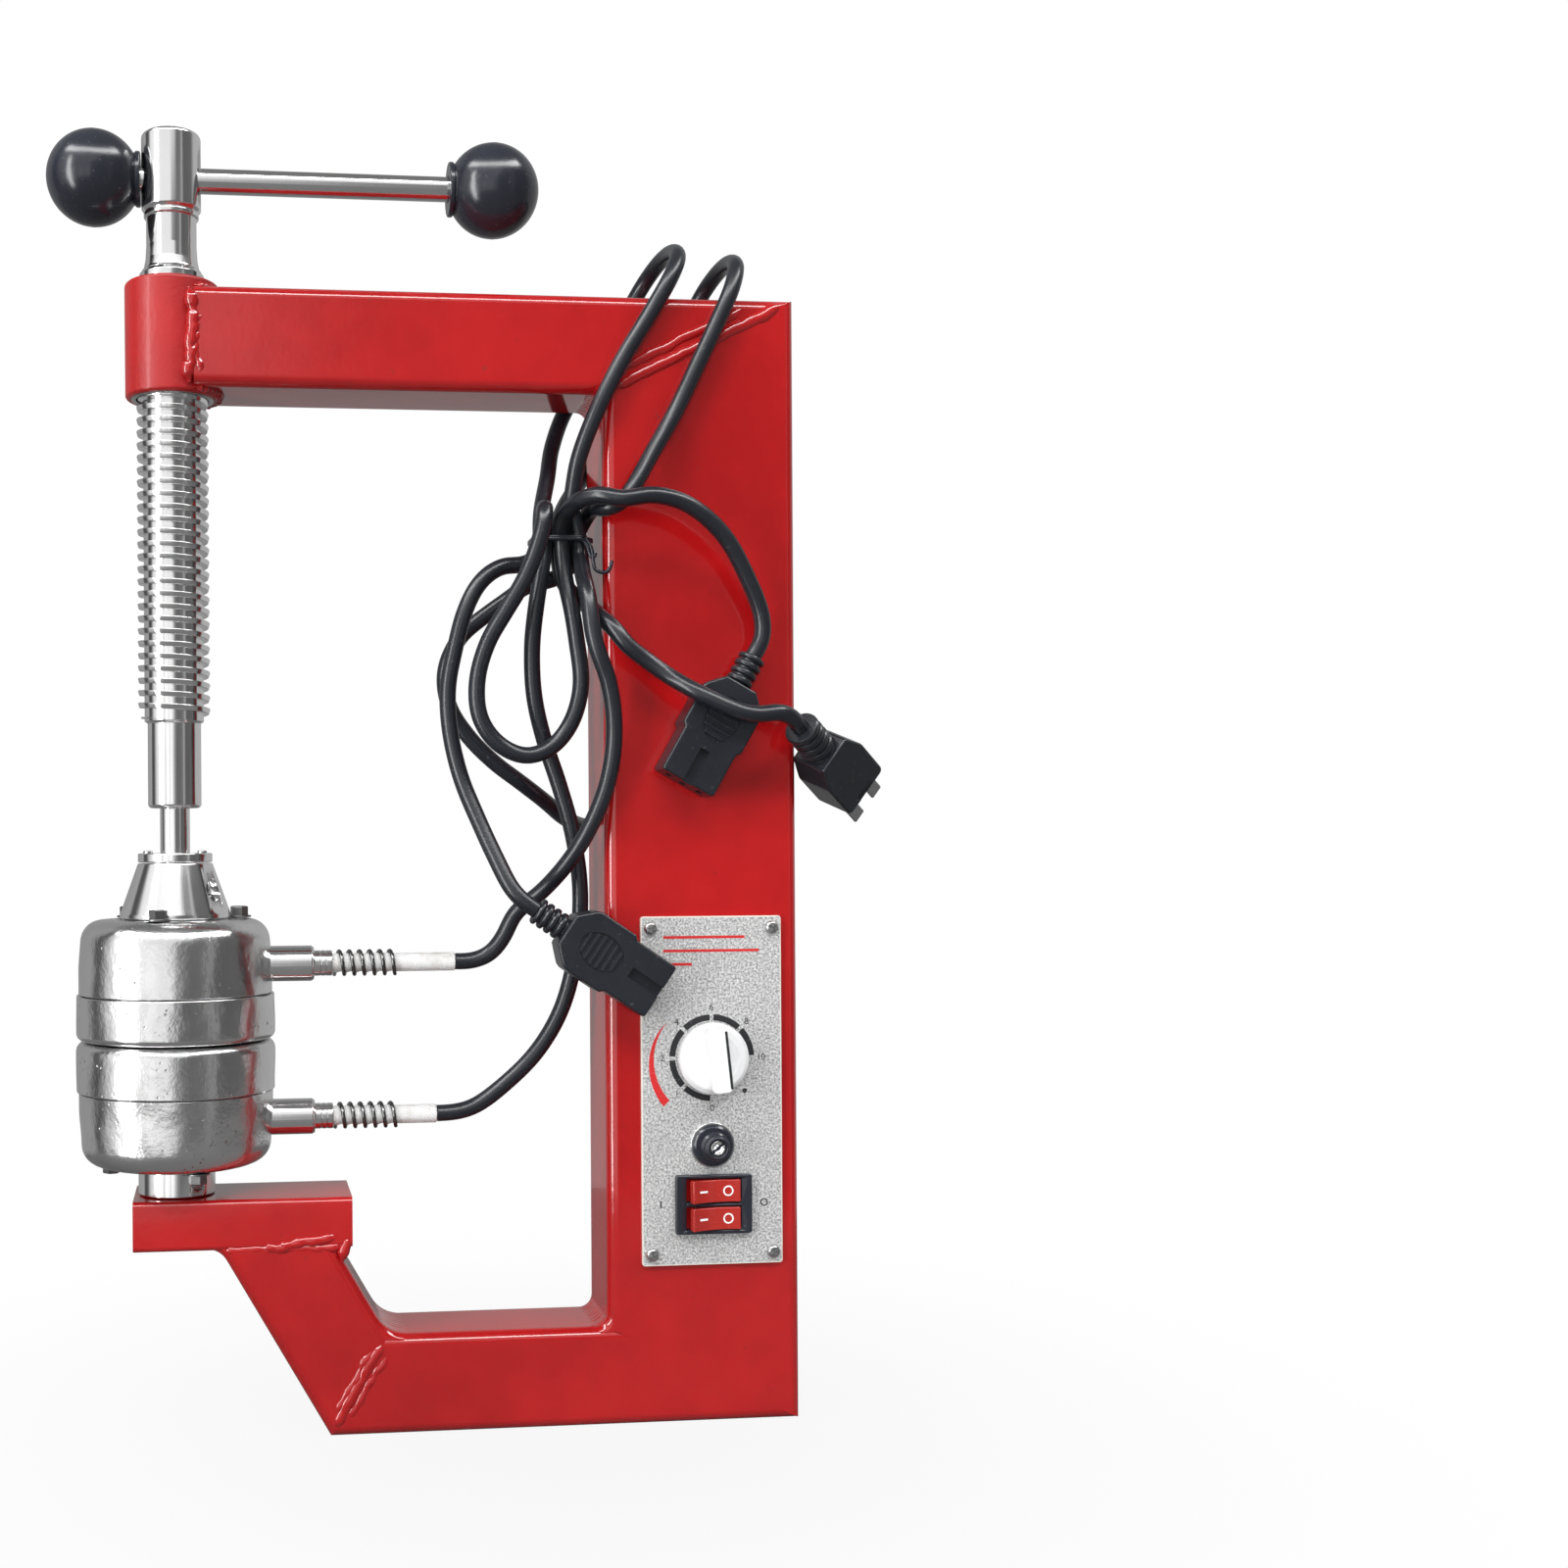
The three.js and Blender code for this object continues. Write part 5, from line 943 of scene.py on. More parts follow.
mica = board("mica", (0.30, 0.20, 0.09, 1), (0.50, 0.38, 0.20, 1), 160.0)
fibre = board("insulation_fibre", (0.62, 0.58, 0.50, 1), (0.80, 0.77, 0.70, 1), 240.0)
for head in heads:
    for piece, look in (("heater_element", mica), ("insulation_disc", fibre)):
        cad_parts[f"{head}_{piece}"].material_slots[0].material = look


# Cable glands, sleeves and bend springs.
# A plated brass gland screwed into each cover, a white woven sleeve over the heater's leads and
# a steel spring that keeps the sleeve from kinking.
def sleeve_look():
    look = Look("white_sleeve")
    values = {"Vector": look.place, "Scale": 420.0, "Distortion": 1.5}
    weave = look.node("TexWave", values, bands_direction="DIAGONAL")
    soil = look.cloud(90, 5, 0.65)
    tone = look.mix(grey(0.72), (0.52, 0.50, 0.46, 1), look.step(soil, 0.45, 0.75))
    return look.surface(tone, 0.6 + soil * 0.25, look.bump(weave, 0.25, 0.0003))


def spring_tree():
    """Geometry Nodes: a left-handed wire wound round Z."""
    tree, inputs = started_tree("wound_wire", "Radius", "Wire Radius", "Length", "Turns")
    wound = helix(tree, inputs, 32, inputs["Length"])
    wound = tree.node("Transform", {"Geometry": wound, "Scale": (1.0, -1.0, 1.0)})
    return ended_tree(tree, inputs, swept(tree, wound, 10, inputs["Wire Radius"]))


white_sleeve = sleeve_look()
wound_wire = spring_tree()
gland_points = [
    (4.1, -3.5), (7.25, -3.5), (7.25, 17, 0.4), (6.9, 17.4), (7.25, 18, 0.5), (5.2, 18, 0.3),
    (5.2, 20.4, 0.3), (4.9, 20.7), (5.2, 21), (5.2, 22.6, 0.2), (4.9, 22.9), (5.2, 23.2),
    (5.2, 25.5, 0.4), (4.1, 25.5),
]
cover_side = screw_x + 38
spring_sizes = {"radius": 4.75 * MM, "wire_radius": 0.8 * MM, "length": 25 * MM, "turns": 6.0}
for head, height, end in (("upper", 188.6, 76.2), ("lower", 126.0, 68.2)):
    body = heads[head]
    gland = turned(gland_points, 64, (cover_side, 0, height), "X", 3)
    put(f"plated_{head}_gland", gland, chrome, head + "_cable_gland", body=body)
    outline = [(0, -6.5), (3.8, -6.5)]
    outline += [
        (3.8 + 0.22 * math.sin((s - 26) / 25 * 12 * math.pi) * (26 < s < 51), s)
        for s in [25 + 0.5 * i for i in range(int((end - 26) * 2))]
    ]
    outline += [(3.8, end, 0.6), (0, end)]
    sleeve = turned(outline, 40, (cover_side, 0, height), "X", 3)
    put(f"woven_{head}_sleeve", sleeve, white_sleeve, head + "_relief_sleeve", body=body)
    name = f"wound_{head}_spring"
    spring = grown(name, seed_object(), wound_wire, finish=spring_steel, **spring_sizes)
    place = Matrix.Translation(Vector((cover_side + 26.4, 0, height)) * MM)
    spring.data.transform(place @ Matrix.Rotation(math.pi / 2, 4, "Y"))
    dress(spring, head + "_relief_spring", body=body)


# Lower post.
# A chromed stub between the anvil block and the lower head, with a socket screw in its side.
post_points = [
    (0, 82.3), (5, 82.3), (5, 96.3), (15.5, 96.3, 0.6), (15.5, 108.3, 0.6), (8, 108.3),
    (8, 112.6), (0, 112.6),
]
post = made_piece("chromed_lower_post", turned(post_points, middle=on_axis), chrome)
post_screw_place = pointing(-56, 102.3)
dress(carve(post, pin(3.3, 11, 20), place=post_screw_place), "lower_post")
dress(socket_screw("steel_post_screw", 3.1, 1.6, 11, 14.9, post_screw_place))


# Control panel.
# An aluminium plate with a grained lacquer, printed in black and red and held by four
# cross-recessed screws. Plain rules stand where a maker would put words.
panel_x = 59.4
panel_middle = 136
panel_front = -21.8
timer_height = 149.3
fuse_height = 113.7
switch_height = 89.9


def out_of_panel(height):
    """Turns a form built along Z so that it points out of the panel at this height."""
    upright = Matrix.Rotation(math.pi / 2, 4, "X")
    return Matrix.Translation((panel_x, panel_front, height)) @ upright


def grained_plate():
    look = Look("silver_plate")
    grain = look.cloud(1100, 4, 0.75)
    spots = look.step(look.cloud(1500, 2, 0.6), 0.55, 0.66)
    soil = look.cloud(55, 5, 0.6)
    tone = look.mix(grey(0.20), grey(0.72), look.step(grain, 0.36, 0.64))
    tone = look.mix(tone, grey(0.85), spots * 0.6)
    tone = look.mix(tone, (0.33, 0.34, 0.33, 1), look.step(soil, 0.5, 0.8) * 0.3)
    # A cream band along the plate's edges is a painted highlight, standing for the light its
    # bevelled rims catch.
    beside, over = [
        look.node("SeparateXYZ", {0: look.place}, axis) - centre * MM
        for axis, centre in ((0, panel_x), (2, panel_middle))
    ]
    beside, over = [offset.math("ABSOLUTE", offset) for offset in (beside, over)]
    rim = beside.math("MAXIMUM", beside - 29.25 * MM, over - 71 * MM)
    tone = look.mix(tone, (0.80, 0.77, 0.70, 1), look.step(rim, -0.7 * MM, -0.3 * MM))
    fine = look.bump(grain, 0.35, 0.0002)
    return look.surface(tone, 0.42 + grain * 0.25, fine, Metallic=0.35)


def circle(radius, sides=48):
    turns = [2 * math.pi * i / sides for i in range(sides)]
    return [(radius * math.cos(a), radius * math.sin(a)) for a in turns]


plate = moulded(rectangle(58.5, 142, 1.2), -1.5, 0, 0.25)
plate = made_piece("grained_panel_plate", plate, grained_plate(), out_of_panel(panel_middle))
holes = [
    moved(moulded(outline, -3, 3, 0), y=height - panel_middle)
    for outline, height in (
        (circle(5.3), timer_height),
        (circle(6.3), fuse_height),
        (rectangle(28.6, 22, 0.6), switch_height),
    )
]
dress(carve(plate, *holes, place=out_of_panel(panel_middle)), "panel_plate")

screw_head = turned([(0, -7), (1.5, -7), (1.5, 0), (3, 0, 0.3), (2.2, 1.8, 1), (0, 2)], 32)
recess = [moulded(rectangle(*size, 0.1), 0.9, 3, 0) for size in ((3.4, 0.7), (0.7, 3.4))]
screw_head = carved(screw_head, *recess)
spots = [(x, y) for y in (66.25, -66.25) for x in (-25.25, 25.25)]
place = out_of_panel(panel_middle)
screws = set_fasteners("steel_panel_screws", screw_head, spots, place, steel, 7)
dress(screws, *[f"panel_screw_{i}" for i in (1, 2, 3, 4)])


# Panel print.
# The timer's scale: seven plain numbers clockwise from the bottom, thick arcs between them, an
# off dot and a red wedge that widens downward; below it the switch's marks.
def ink(name, colour):
    look = Look(name)
    wear = look.step(look.cloud(900, 4, 0.7), 0.60, 0.72)
    tone = look.mix(colour, grey(0.4), wear * 0.35)
    return look.surface(tone, 0.45 + wear * 0.3, look.bump(look.cloud(1500, 2), 0.1, 0.0001))


black_ink = ink("black_ink", (0.012, 0.012, 0.014, 1))
red_ink = ink("red_ink", (0.55, 0.018, 0.02, 1))
print_height = 0.06


def printed(outline, x=0, y=0):
    """A flat printed shape."""
    return moved(moulded(outline, 0, print_height, 0), x, y)


def clock(degrees, radius):
    """A point round the dial, counted clockwise from the bottom."""
    angle = math.radians(-90 - degrees)
    return (radius * math.cos(angle), radius * math.sin(angle))


def arc_band(start, end, inner, outer, steps=16):
    """A band round the dial; inner and outer give its radii at a share of its length."""
    stations = [(start + (end - start) * i / steps, i / steps) for i in range(steps + 1)]
    points = [clock(a, outer(s)) for a, s in stations]
    return points + [clock(a, inner(s)) for a, s in reversed(stations)]


def numeral(text, size, middle):
    """A number as a thin raised mesh, centred on a point."""
    data = bpy.data.curves.new("numeral", "FONT")
    data.body = text
    data.size = size
    data.extrude = print_height / 2
    data.align_x = "CENTER"
    data.align_y = "CENTER"
    written = bake_modifiers(linked("numeral", data))
    mesh = written.data
    bpy.data.objects.remove(written)
    return moved(mesh, *middle, print_height / 2)


scale_numbers = (0, 1, 2, 4, 6, 8, 10)
scale_step = 270 / (len(scale_numbers) - 1)
scale_gap = 2.6
dial = []
for i, number in enumerate(scale_numbers):
    dial.append(numeral(str(number), 3.7, clock(i * scale_step, 20.6)))
    if i:
        first, last = (i - 1) * scale_step + scale_gap, i * scale_step - scale_gap
        dial.append(printed(arc_band(first, last, lambda share: 15.2, lambda share: 17.7)))
dial.append(printed(circle(1.0, 24), *clock(315, 19.3)))
place = out_of_panel(timer_height)
put("printed_timer_scale", merged(*dial), black_ink, place=place)


def wedge_outside(share):
    return 25 + 3.1 * (1 - share) ** 0.8 - 1.2 * share


wedge = printed(arc_band(46, 127, lambda share: 24.6 - 0.9 * share, wedge_outside))
rules = [
    printed(rectangle(width, 1.1, 0.2), x, panel_middle + z - timer_height)
    for width, x, z in ((34, -3, 62.5), (40, 0, 57), (12, -14, 51.5))
]
put("printed_red_wedge_and_rules", merged(wedge, *rules), red_ink, place=place)
ring_mark = turned([(1.1, 0), (1.6, 0), (1.6, print_height), (1.1, print_height)], 32)
marks = merged(moved(ring_mark, 21.5), printed(rectangle(0.6, 3, 0.2), -21.5))
put("printed_switch_marks", marks, black_ink, place=out_of_panel(switch_height))


# Timer.
# A clockwork timer behind the panel; its knob is one white moulding, a round skirt with a broad
# grip across it that leans a little to the left.
cream = (0.80, 0.81, 0.82, 1)
knob_plastic = plastic("knob_plastic", cream, grey(0.90), 0.22, 0.08, 300.0, 0.4)
brown = (0.14, 0.08, 0.045, 1)
timer_case = plastic("timer_case", brown, (0.24, 0.14, 0.08, 1), 0.5, 0.4, 700.0)
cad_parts["timer_body"].material_slots[0].material = timer_case
skirt_points = [
    (0, 1.2), (12.6, 1.2, 0.4), (13.4, 0.8, 0.3), (14.5, 0.8, 0.4), (14.5, 4.2, 1.4),
    (12.6, 5.8, 1), (10, 5.8, 0.5), (9.4, 5.5, 0.4), (0, 5.5),
]
grip_points = [(5, -13.2, 2.5), (5, 13.2, 2.5), (-5, 13.2, 2.5), (-5, -13.2, 2.5)]
grip = moulded(rounded(grip_points), 4.8, 13.8, 0.9, 4, 0.6)
grip_lean = Matrix.Rotation(math.radians(6), 4, "Z")
grip.transform(grip_lean)
knob = merged(turned(skirt_points, turns=4), grip)
put("moulded_timer_knob", knob, knob_plastic, "timer_knob", body="timer_knob", place=place)
# A black line along the right edge of the grip's top is painted shade, standing for the shadow on
# the grip's right flank.
grip_shade_line = moved(moulded(rectangle(1.1, 23.5, 0.4), 13.6, 13.86, 0.05), 3.5)
put("painted_pointer_line", grip_shade_line, black_ink, body="timer_knob", place=place @ grip_lean)
shaft = turned([(0, -15.8), (3, -15.8, 0.4), (3, 2), (0, 2)], 32)
put("steel_timer_shaft", shaft, steel, body="timer_knob", place=place)


# Fuse.
# A panel fuse holder: a black threaded body and flange over a pale washer, a screw cap with a
# slot, and the glass fuse inside.
place = out_of_panel(fuse_height)
holder_points = [
    (3.4, 2.5, 0.3), (3.4, -14), (0, -14), (0, -33), (5.4, -33, 0.8),
    *[(5.7 + 0.3 * (i % 2), -30 + i) for i in range(28)],
    (6, 0.3), (8.5, 0.3), (8.5, 1.6, 0.8), (7.4, 2.5, 0.5),
]
holder = turned(holder_points, 64, turns=3)
put("moulded_fuse_holder", holder, black_plastic, "fuse_holder", place=place)
pale_washer = turned([(6.1, 0.02), (9.2, 0.02, 0.1), (9.2, 0.75, 0.3), (6.1, 0.75)], 64)
put("plated_fuse_washer", pale_washer, chrome, place=place)
cap_points = [
    (0, 6.8), (2.9, 6.8), (2.9, 2.8), (6, 2.8, 0.3), (6, 5.2, 0.6), (5, 6.1, 0.5),
    (4.7, 9.8, 0.7), (0, 9.8),
]
cap = made_piece("moulded_fuse_cap", turned(cap_points, 64, turns=4), black_plastic, place)
mouth = moulded(circle(3.5), 8.5, 11, 0)
dress(carve(cap, mouth, place=place), "fuse_cap", body="fuse_cap")
insert_points = [(0, 8.2), (3.1, 8.2), (3.1, 9.3, 0.4), (2.1, 9.3, 0.3), (1.9, 8.7), (0, 8.7)]
insert = made_piece("plated_fuse_insert", turned(insert_points, 48), chrome, place)
slot_place = place @ Matrix.Rotation(math.radians(40), 4, "Z")
slot = moulded(rectangle(11, 1.1, 0.1), 8.4, 11, 0)
dress(carve(insert, slot, place=slot_place), body="fuse_cap")


def glass():
    look = Look("fuse_glass")
    haze = look.cloud(400, 3)
    tone = look.mix((0.70, 0.76, 0.78, 1), grey(0.86), haze)
    fine = look.bump(haze, 0.03, 0.0002)
    return look.surface(tone, 0.06 + haze * 0.08, fine, Coat_Weight=1.0)


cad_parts["fuse_tube"].material_slots[0].material = glass()


# Switch.
# A black bezel with two red rockers, one above the other, each turning on a pin in its pocket; a
# dash and a ring in white paint mark each rocker's ends.
switch_place = out_of_panel(switch_height)


def block(width, height, low, high, x=0, y=0):
    return moved(moulded(rectangle(width, height, 0.4), low, high, 0.2), x, y)


bezel = moulded(rectangle(31.8, 24.2, 1.2), 0.3, 2.7, 0.7, 3)
bezel = made_piece("moulded_switch_housing", bezel, black_plastic, switch_place)
carve(bezel, block(28, 21.4, -22, 0.8), place=switch_place, operation="UNION")
rows = {"rocker_upper": 5.6, "rocker_lower": -5.6}
carve(bezel, *[block(23.2, 9.6, -6.3, 5, 0, y) for y in rows.values()], place=switch_place)
blades = [block(4.8, 0.8, -28, -21.5, x, y) for x in (-9.3, 0, 9.3) for y in rows.values()]
carve(bezel, *blades, place=switch_place, operation="UNION")
dress(bezel, "switch_housing")


def lit_plastic():
    look = Look("rocker_red")
    deep = look.cloud(55, 3)
    dust = look.step(look.cloud(1100, 3, 0.7), 0.62, 0.74)
    tone = look.mix((0.30, 0.012, 0.010, 1), (0.43, 0.024, 0.016, 1), deep)
    tone = look.mix(tone, (0.65, 0.20, 0.17, 1), dust * 0.2)
    fine = look.bump(look.cloud(300, 2), 0.06, 0.0002)
    return look.surface(tone, 0.20 + dust * 0.3, fine, Coat_Weight=0.5)


def paint():
    look = Look("white_paint")
    wear = look.cloud(1200, 4, 0.7)
    tone = look.mix(grey(0.88), (0.85, 0.60, 0.55, 1), look.step(wear, 0.55, 0.8))
    return look.surface(tone, 0.35 + wear * 0.2, look.bump(wear, 0.1, 0.0001))


rocker_red = lit_plastic()
white_paint = paint()
rest_tilt = math.radians(-10)
half_rocker = 10.5
dish_rise = 1.9


def dish(x):
    return 1.5 + dish_rise * (x / half_rocker) ** 2


rocker_top = [(half_rocker * (1 - i / 8), dish(half_rocker * (1 - i / 8))) for i in range(17)]
rocker_points = [(*rocker_top[0], 0.5), *rocker_top[1:-1], (*rocker_top[-1], 0.5)]
rocker_points += [(-half_rocker, 0, 0.5), (-7.5, -3, 1), (7.5, -3, 1), (half_rocker, 0, 0.5)]
for name, y in rows.items():
    place = (
        switch_place
        @ Matrix.Translation((0, y, 2.3))
        @ Matrix.Rotation(math.pi / 2, 4, "X")
        @ Matrix.Rotation(rest_tilt, 4, "Z")
    )
    rocker = moulded(rounded(rocker_points, 3), -4.5, 4.5, 0.35, 3)
    put("moulded_" + name, rocker, rocker_red, name, body=name, place=place, smooth_below=40)
    ring = turned([(1.55, -0.3), (2.15, -0.3), (2.15, 0.12, 0.1), (1.55, 0.12, 0.1)], 40)
    dash = moulded(rectangle(3.8, 0.85, 0.3), -0.3, 0.12, 0.08)
    for mark, x in ((dash, -5.4), (ring, 5.4)):
        lean = math.atan(2 * dish_rise * x / half_rocker ** 2)
        mark.transform(Matrix.Rotation(lean, 4, "Z") @ Matrix.Rotation(-math.pi / 2, 4, "X"))
        moved(mark, x, dish(x))
    put(f"painted_{name}_marks", merged(dash, ring), white_paint, body=name, place=place)


# Back of the column.
# Two moulded appliance inlets with flat plated pins, and a ribbed gland where the mains cord
# leaves the column.
def out_of_back(height):
    """Turns a form built along Z so that it points out of the column's back at this height."""
    inverted = Matrix.Rotation(-math.pi / 2, 4, "X")
    return Matrix.Translation((column_middle, middle, height)) @ inverted


mouth_points = [
    (-12.3, -8.3, 1), (12.3, -8.3, 1), (12.3, 4.3, 0.6), (8.3, 8.3, 0.6), (-8.3, 8.3, 0.6),
    (-12.3, 4.3, 0.6),
]
for name, height in zip(("upper_heater_inlet", "lower_heater_inlet"), inlet_heights):
    place = out_of_back(height)
    inlet = moulded(rectangle(31, 24, 2), 0.3, 2.8, 0.6, 3)
    inlet = made_piece("moulded_" + name, inlet, black_plastic, place)
    carve(inlet, block(27.4, 20, -17, 0.8), place=place, operation="UNION")
    carve(inlet, moulded(rounded(mouth_points, 3), -12.2, 4, 0), place=place)
    dress(inlet, name)
    contacts = []
    for x, rise in ((-7, -1), (0, 1), (7, -1)):
        contacts.append(moved(moulded(rectangle(2, 4, 0.5), -12.4, 1.3, 0.5), x, rise))
        contacts.append(moved(moulded(rectangle(0.8, 4.8, 0.2), -23, -16.8, 0.1), x))
    put(f"plated_{name}_pins", merged(*contacts), chrome, place=place)

mains_gland_height = 236.4
gland_ribs = [
    point
    for i in range(5)
    for point in (
        (7.6 - 0.25 * i, 4.2 + 3 * i, 0.5), (7.5 - 0.25 * i, 6.0 + 3 * i, 0.5),
        (6.5 - 0.25 * i, 6.3 + 3 * i, 0.2), (6.4 - 0.25 * i, 7.0 + 3 * i, 0.2),
    )
]
mains_gland = [(3.7, -9), (6, -9, 0.4), (6, 0.3), (9, 0.3, 0.3), (9, 3.3, 0.8), (7.7, 3.4, 0.2)]
mains_gland = turned([*mains_gland, *gland_ribs, (5.1, 19.3, 0.4), (3.7, 19.3, 0.3)], 64, turns=3)
place = out_of_back(mains_gland_height)
put("moulded_mains_gland", mains_gland, black_plastic, "mains_gland", place=place)


# Connectors and plug.
# Moulded rubber ends with ribbed reliefs: two appliance connectors with an oval ribbed grip, a
# key groove and three contact slots, and a plug with two flat plated pins.
upper_heater_route = [
    (-43, 0, 188.6), (-36.5, 0, 188.7), (-29, -0.8, 191.5), (-23.6, -2.3, 198),
    (-18.5, -5, 208.5), (-8.7, -10, 217.1), (1.5, -17, 229.6), (9.7, -23, 244.3),
    (16, -26, 261.3), (18.5, -28, 280.9), (15.9, -31.5, 300.3), (9.5, -34, 317.6),
    (7.6, -30.4, 336), (7.5, -20.5, 346), (7.9, -13.2, 354), (7.9, -11.8, 361),
    (6.5, -12.2, 367.3), (4.1, -13.4, 373.5), (4.6, -16, 381.4), (6, -20, 392.6),
    (12, -24.5, 409.6), (22.9, -25, 431.5), (35.2, -25, 451.7), (43.8, -24.8, 466.7),
    (48.2, -18, 476.5), (49.5, -4, 483), (48, 11, 484), (43.5, 22.5, 478), (36.5, 27, 465),
    (30, 27, 450.4), (19.1, 27, 437.4), (9.2, 25, 423.1), (2.1, 19, 405.6), (-1.5, 10, 391),
    (-5.6, 1, 376), (-6.9, -4, 368), (-7, -4.4, 361), (-9.7, -5.2, 354.5), (-15.9, -7, 351.6),
    (-22.6, -9, 351), (-29, -10.5, 347.8), (-34.6, -11.5, 342), (-40, -13, 331.2),
    (-44.2, -14, 315.9), (-47.1, -14, 300.4), (-46.4, -14, 283.3), (-42.3, -15.5, 264.2),
    (-36.2, -20, 247.5), (-29.2, -25.5, 230.5), (-23.6, -29.4, 218.8), (-19.2, -30.4, 214),
    (-14.2, -30.4, 210.6),
]
lower_heater_route = [
    (-51, 0, 126), (-44, 0, 126.3), (-35.5, 0, 128.5), (-21.5, 0, 138.5), (-9, 0, 150.9),
    (1.2, -1, 168.4), (7.4, -2, 192.8), (9, -3, 217.3), (5.4, -5, 241.7), (-0.4, -6, 261.9),
    (-6.6, -7, 280), (-10.9, -9, 297.9), (-11.9, -11, 317.8), (-10.7, -14, 333.5),
    (-8.2, -13.8, 349), (-6.9, -11.9, 357), (-7.1, -12, 364), (-7.3, -14.3, 370.6),
    (-8, -20, 373), (-8.8, -25.7, 370.6), (-9.8, -28, 365), (-11.6, -27.8, 358),
    (-17.1, -26.5, 343.6), (-24.9, -25, 330.3), (-31.8, -23, 318.3), (-36.2, -22, 302.6),
    (-35, -21.5, 287.6), (-27.4, -21, 277.1), (-16.3, -21, 272.4), (-5.8, -21, 276),
    (2.4, -20.5, 286), (6.6, -20, 301.2), (5.1, -19, 319), (3.4, -17.5, 332), (1.5, -14.2, 344),
    (0.7, -12.2, 353), (0.5, -11.9, 361), (-0.3, -16.3, 367.2), (1.6, -22.6, 371.8),
    (5, -31, 374.4), (11.5, -37.6, 375.2), (19.2, -40.5, 373.1), (31.9, -40.5, 374.9),
    (46.4, -39.5, 371.5), (61.6, -36, 360.3), (72.2, -32.5, 344.1), (79.3, -29.5, 328),
    (79.3, -28.5, 318.7), (75.6, -28.5, 312.2),
]
mains_route = [
    (56.5, 39.6, 236.4), (56.5, 47, 236.4), (55, 54.5, 237), (49.5, 60, 238.2), (41, 61.5, 240),
    (31, 57, 242.5), (22, 48.5, 244.5), (14.3, 37.5, 246), (6.8, 27.5, 249), (-1, 19.5, 254.5),
    (-13.8, 12.5, 263.3), (-24.5, 10.5, 271), (-35.7, 9.6, 282), (-44, 9, 295),
    (-45.6, 8.6, 309.3), (-39.4, 8, 323.2), (-29.6, 6.5, 331.8), (-19.9, 5, 338.7),
    (-11.7, 4.4, 344.5), (-4.6, 4.7, 346.4), (2.7, 4.4, 348.8), (6.8, 0.9, 353.6),
    (7.7, -3.7, 359.5), (8.7, -4.6, 365.8), (11.5, -8, 371.6), (12.7, -15.6, 373.8),
    (12.6, -21.5, 373.2), (13.8, -27, 371.8), (17.4, -30.9, 371.4), (22, -32.2, 374.2),
    (26, -31.8, 379.6), (34, -28.5, 393), (45.3, -25.5, 412.2), (54.4, -25.5, 431.1),
    (62.6, -25.5, 448.4), (68.5, -25, 461.5), (72, -20, 471.5), (74, -7, 478.5),
    (73.5, 9, 480.5), (70, 21.5, 475.5), (64.5, 27, 465), (58.6, 27, 455.9), (47.2, 27, 437.3),
    (35.8, 27, 420), (26.3, 27, 406.2), (17, 26, 394.5), (11, 20.5, 386.5), (5.6, 11.5, 378.5),
    (1.8, 2.6, 371), (0.6, -3, 365), (0.5, -4.3, 358.5), (0.8, -4.4, 351), (2.9, -5.6, 343.5),
    (7.8, -9.6, 337.2), (11.6, -16.6, 332.8), (12.6, -22.8, 330), (14.3, -28, 327),
    (17.8, -31.6, 323), (22.8, -33.2, 316.2), (30.9, -32.5, 310.1), (40.1, -34, 303.4),
    (49.1, -39.5, 297.2), (58.5, -41.5, 292.4), (67, -42.3, 288.9), (75.2, -42.6, 287.9),
    (82, -42.6, 288.9), (88, -40, 287), (93.2, -35.2, 283.2),
]
dark = (0.007, 0.008, 0.011, 1)
black_rubber = plastic("black_rubber", dark, (0.013, 0.015, 0.020, 1), 0.23, 0.08, 900.0)


def at_cord_end(route):
    """Turns a form built along Z so that it runs on from the route's end, with +Y in front."""
    before, end = Vector(route[-2]), Vector(route[-1])
    along = (end - before).normalized()
    across = Vector((0, -1, 0)).cross(along).normalized()
    face = along.cross(across)
    return Matrix.Translation(end) @ Matrix((across, face, along)).transposed().to_4x4()


def ribbed_relief(radius, length, rings=4):
    """A strain relief of rounded rings on a narrower core, along Z."""
    pitch = length / rings
    outline = [(0, 0.3)]
    for i in range(rings):
        start = i * pitch if i else 0.3
        outline += [
            (radius - 0.5, start, 0.2), (radius, start + 0.7, 0.5),
            (radius, (i + 0.64) * pitch, 0.6), (radius - 1.3, (i + 0.72) * pitch, 0.3),
            (radius - 1.3, (i + 0.95) * pitch, 0.2),
        ]
    outline += [(radius - 0.4, length, 0.2), (radius - 0.4, length + 3), (0, length + 3)]
    return turned(outline, 48, turns=3)


def tilted(mesh, side=1, y=0, z=0):
    """The mesh, turned so that its Z looks along -Y, or along +Y, and shifted."""
    mesh.transform(Matrix.Rotation(side * math.pi / 2, 4, "X"))
    return moved(mesh, 0, y, z)


def flat_moulding(outline, thickness):
    """A flat-sided body along Z from half of an outline in X and Z, which is mirrored."""
    outline = outline + [(-p[0], *p[1:]) for p in reversed(outline)]
    return tilted(moulded(rounded(outline), -thickness / 2, thickness / 2, 1.1, 4))


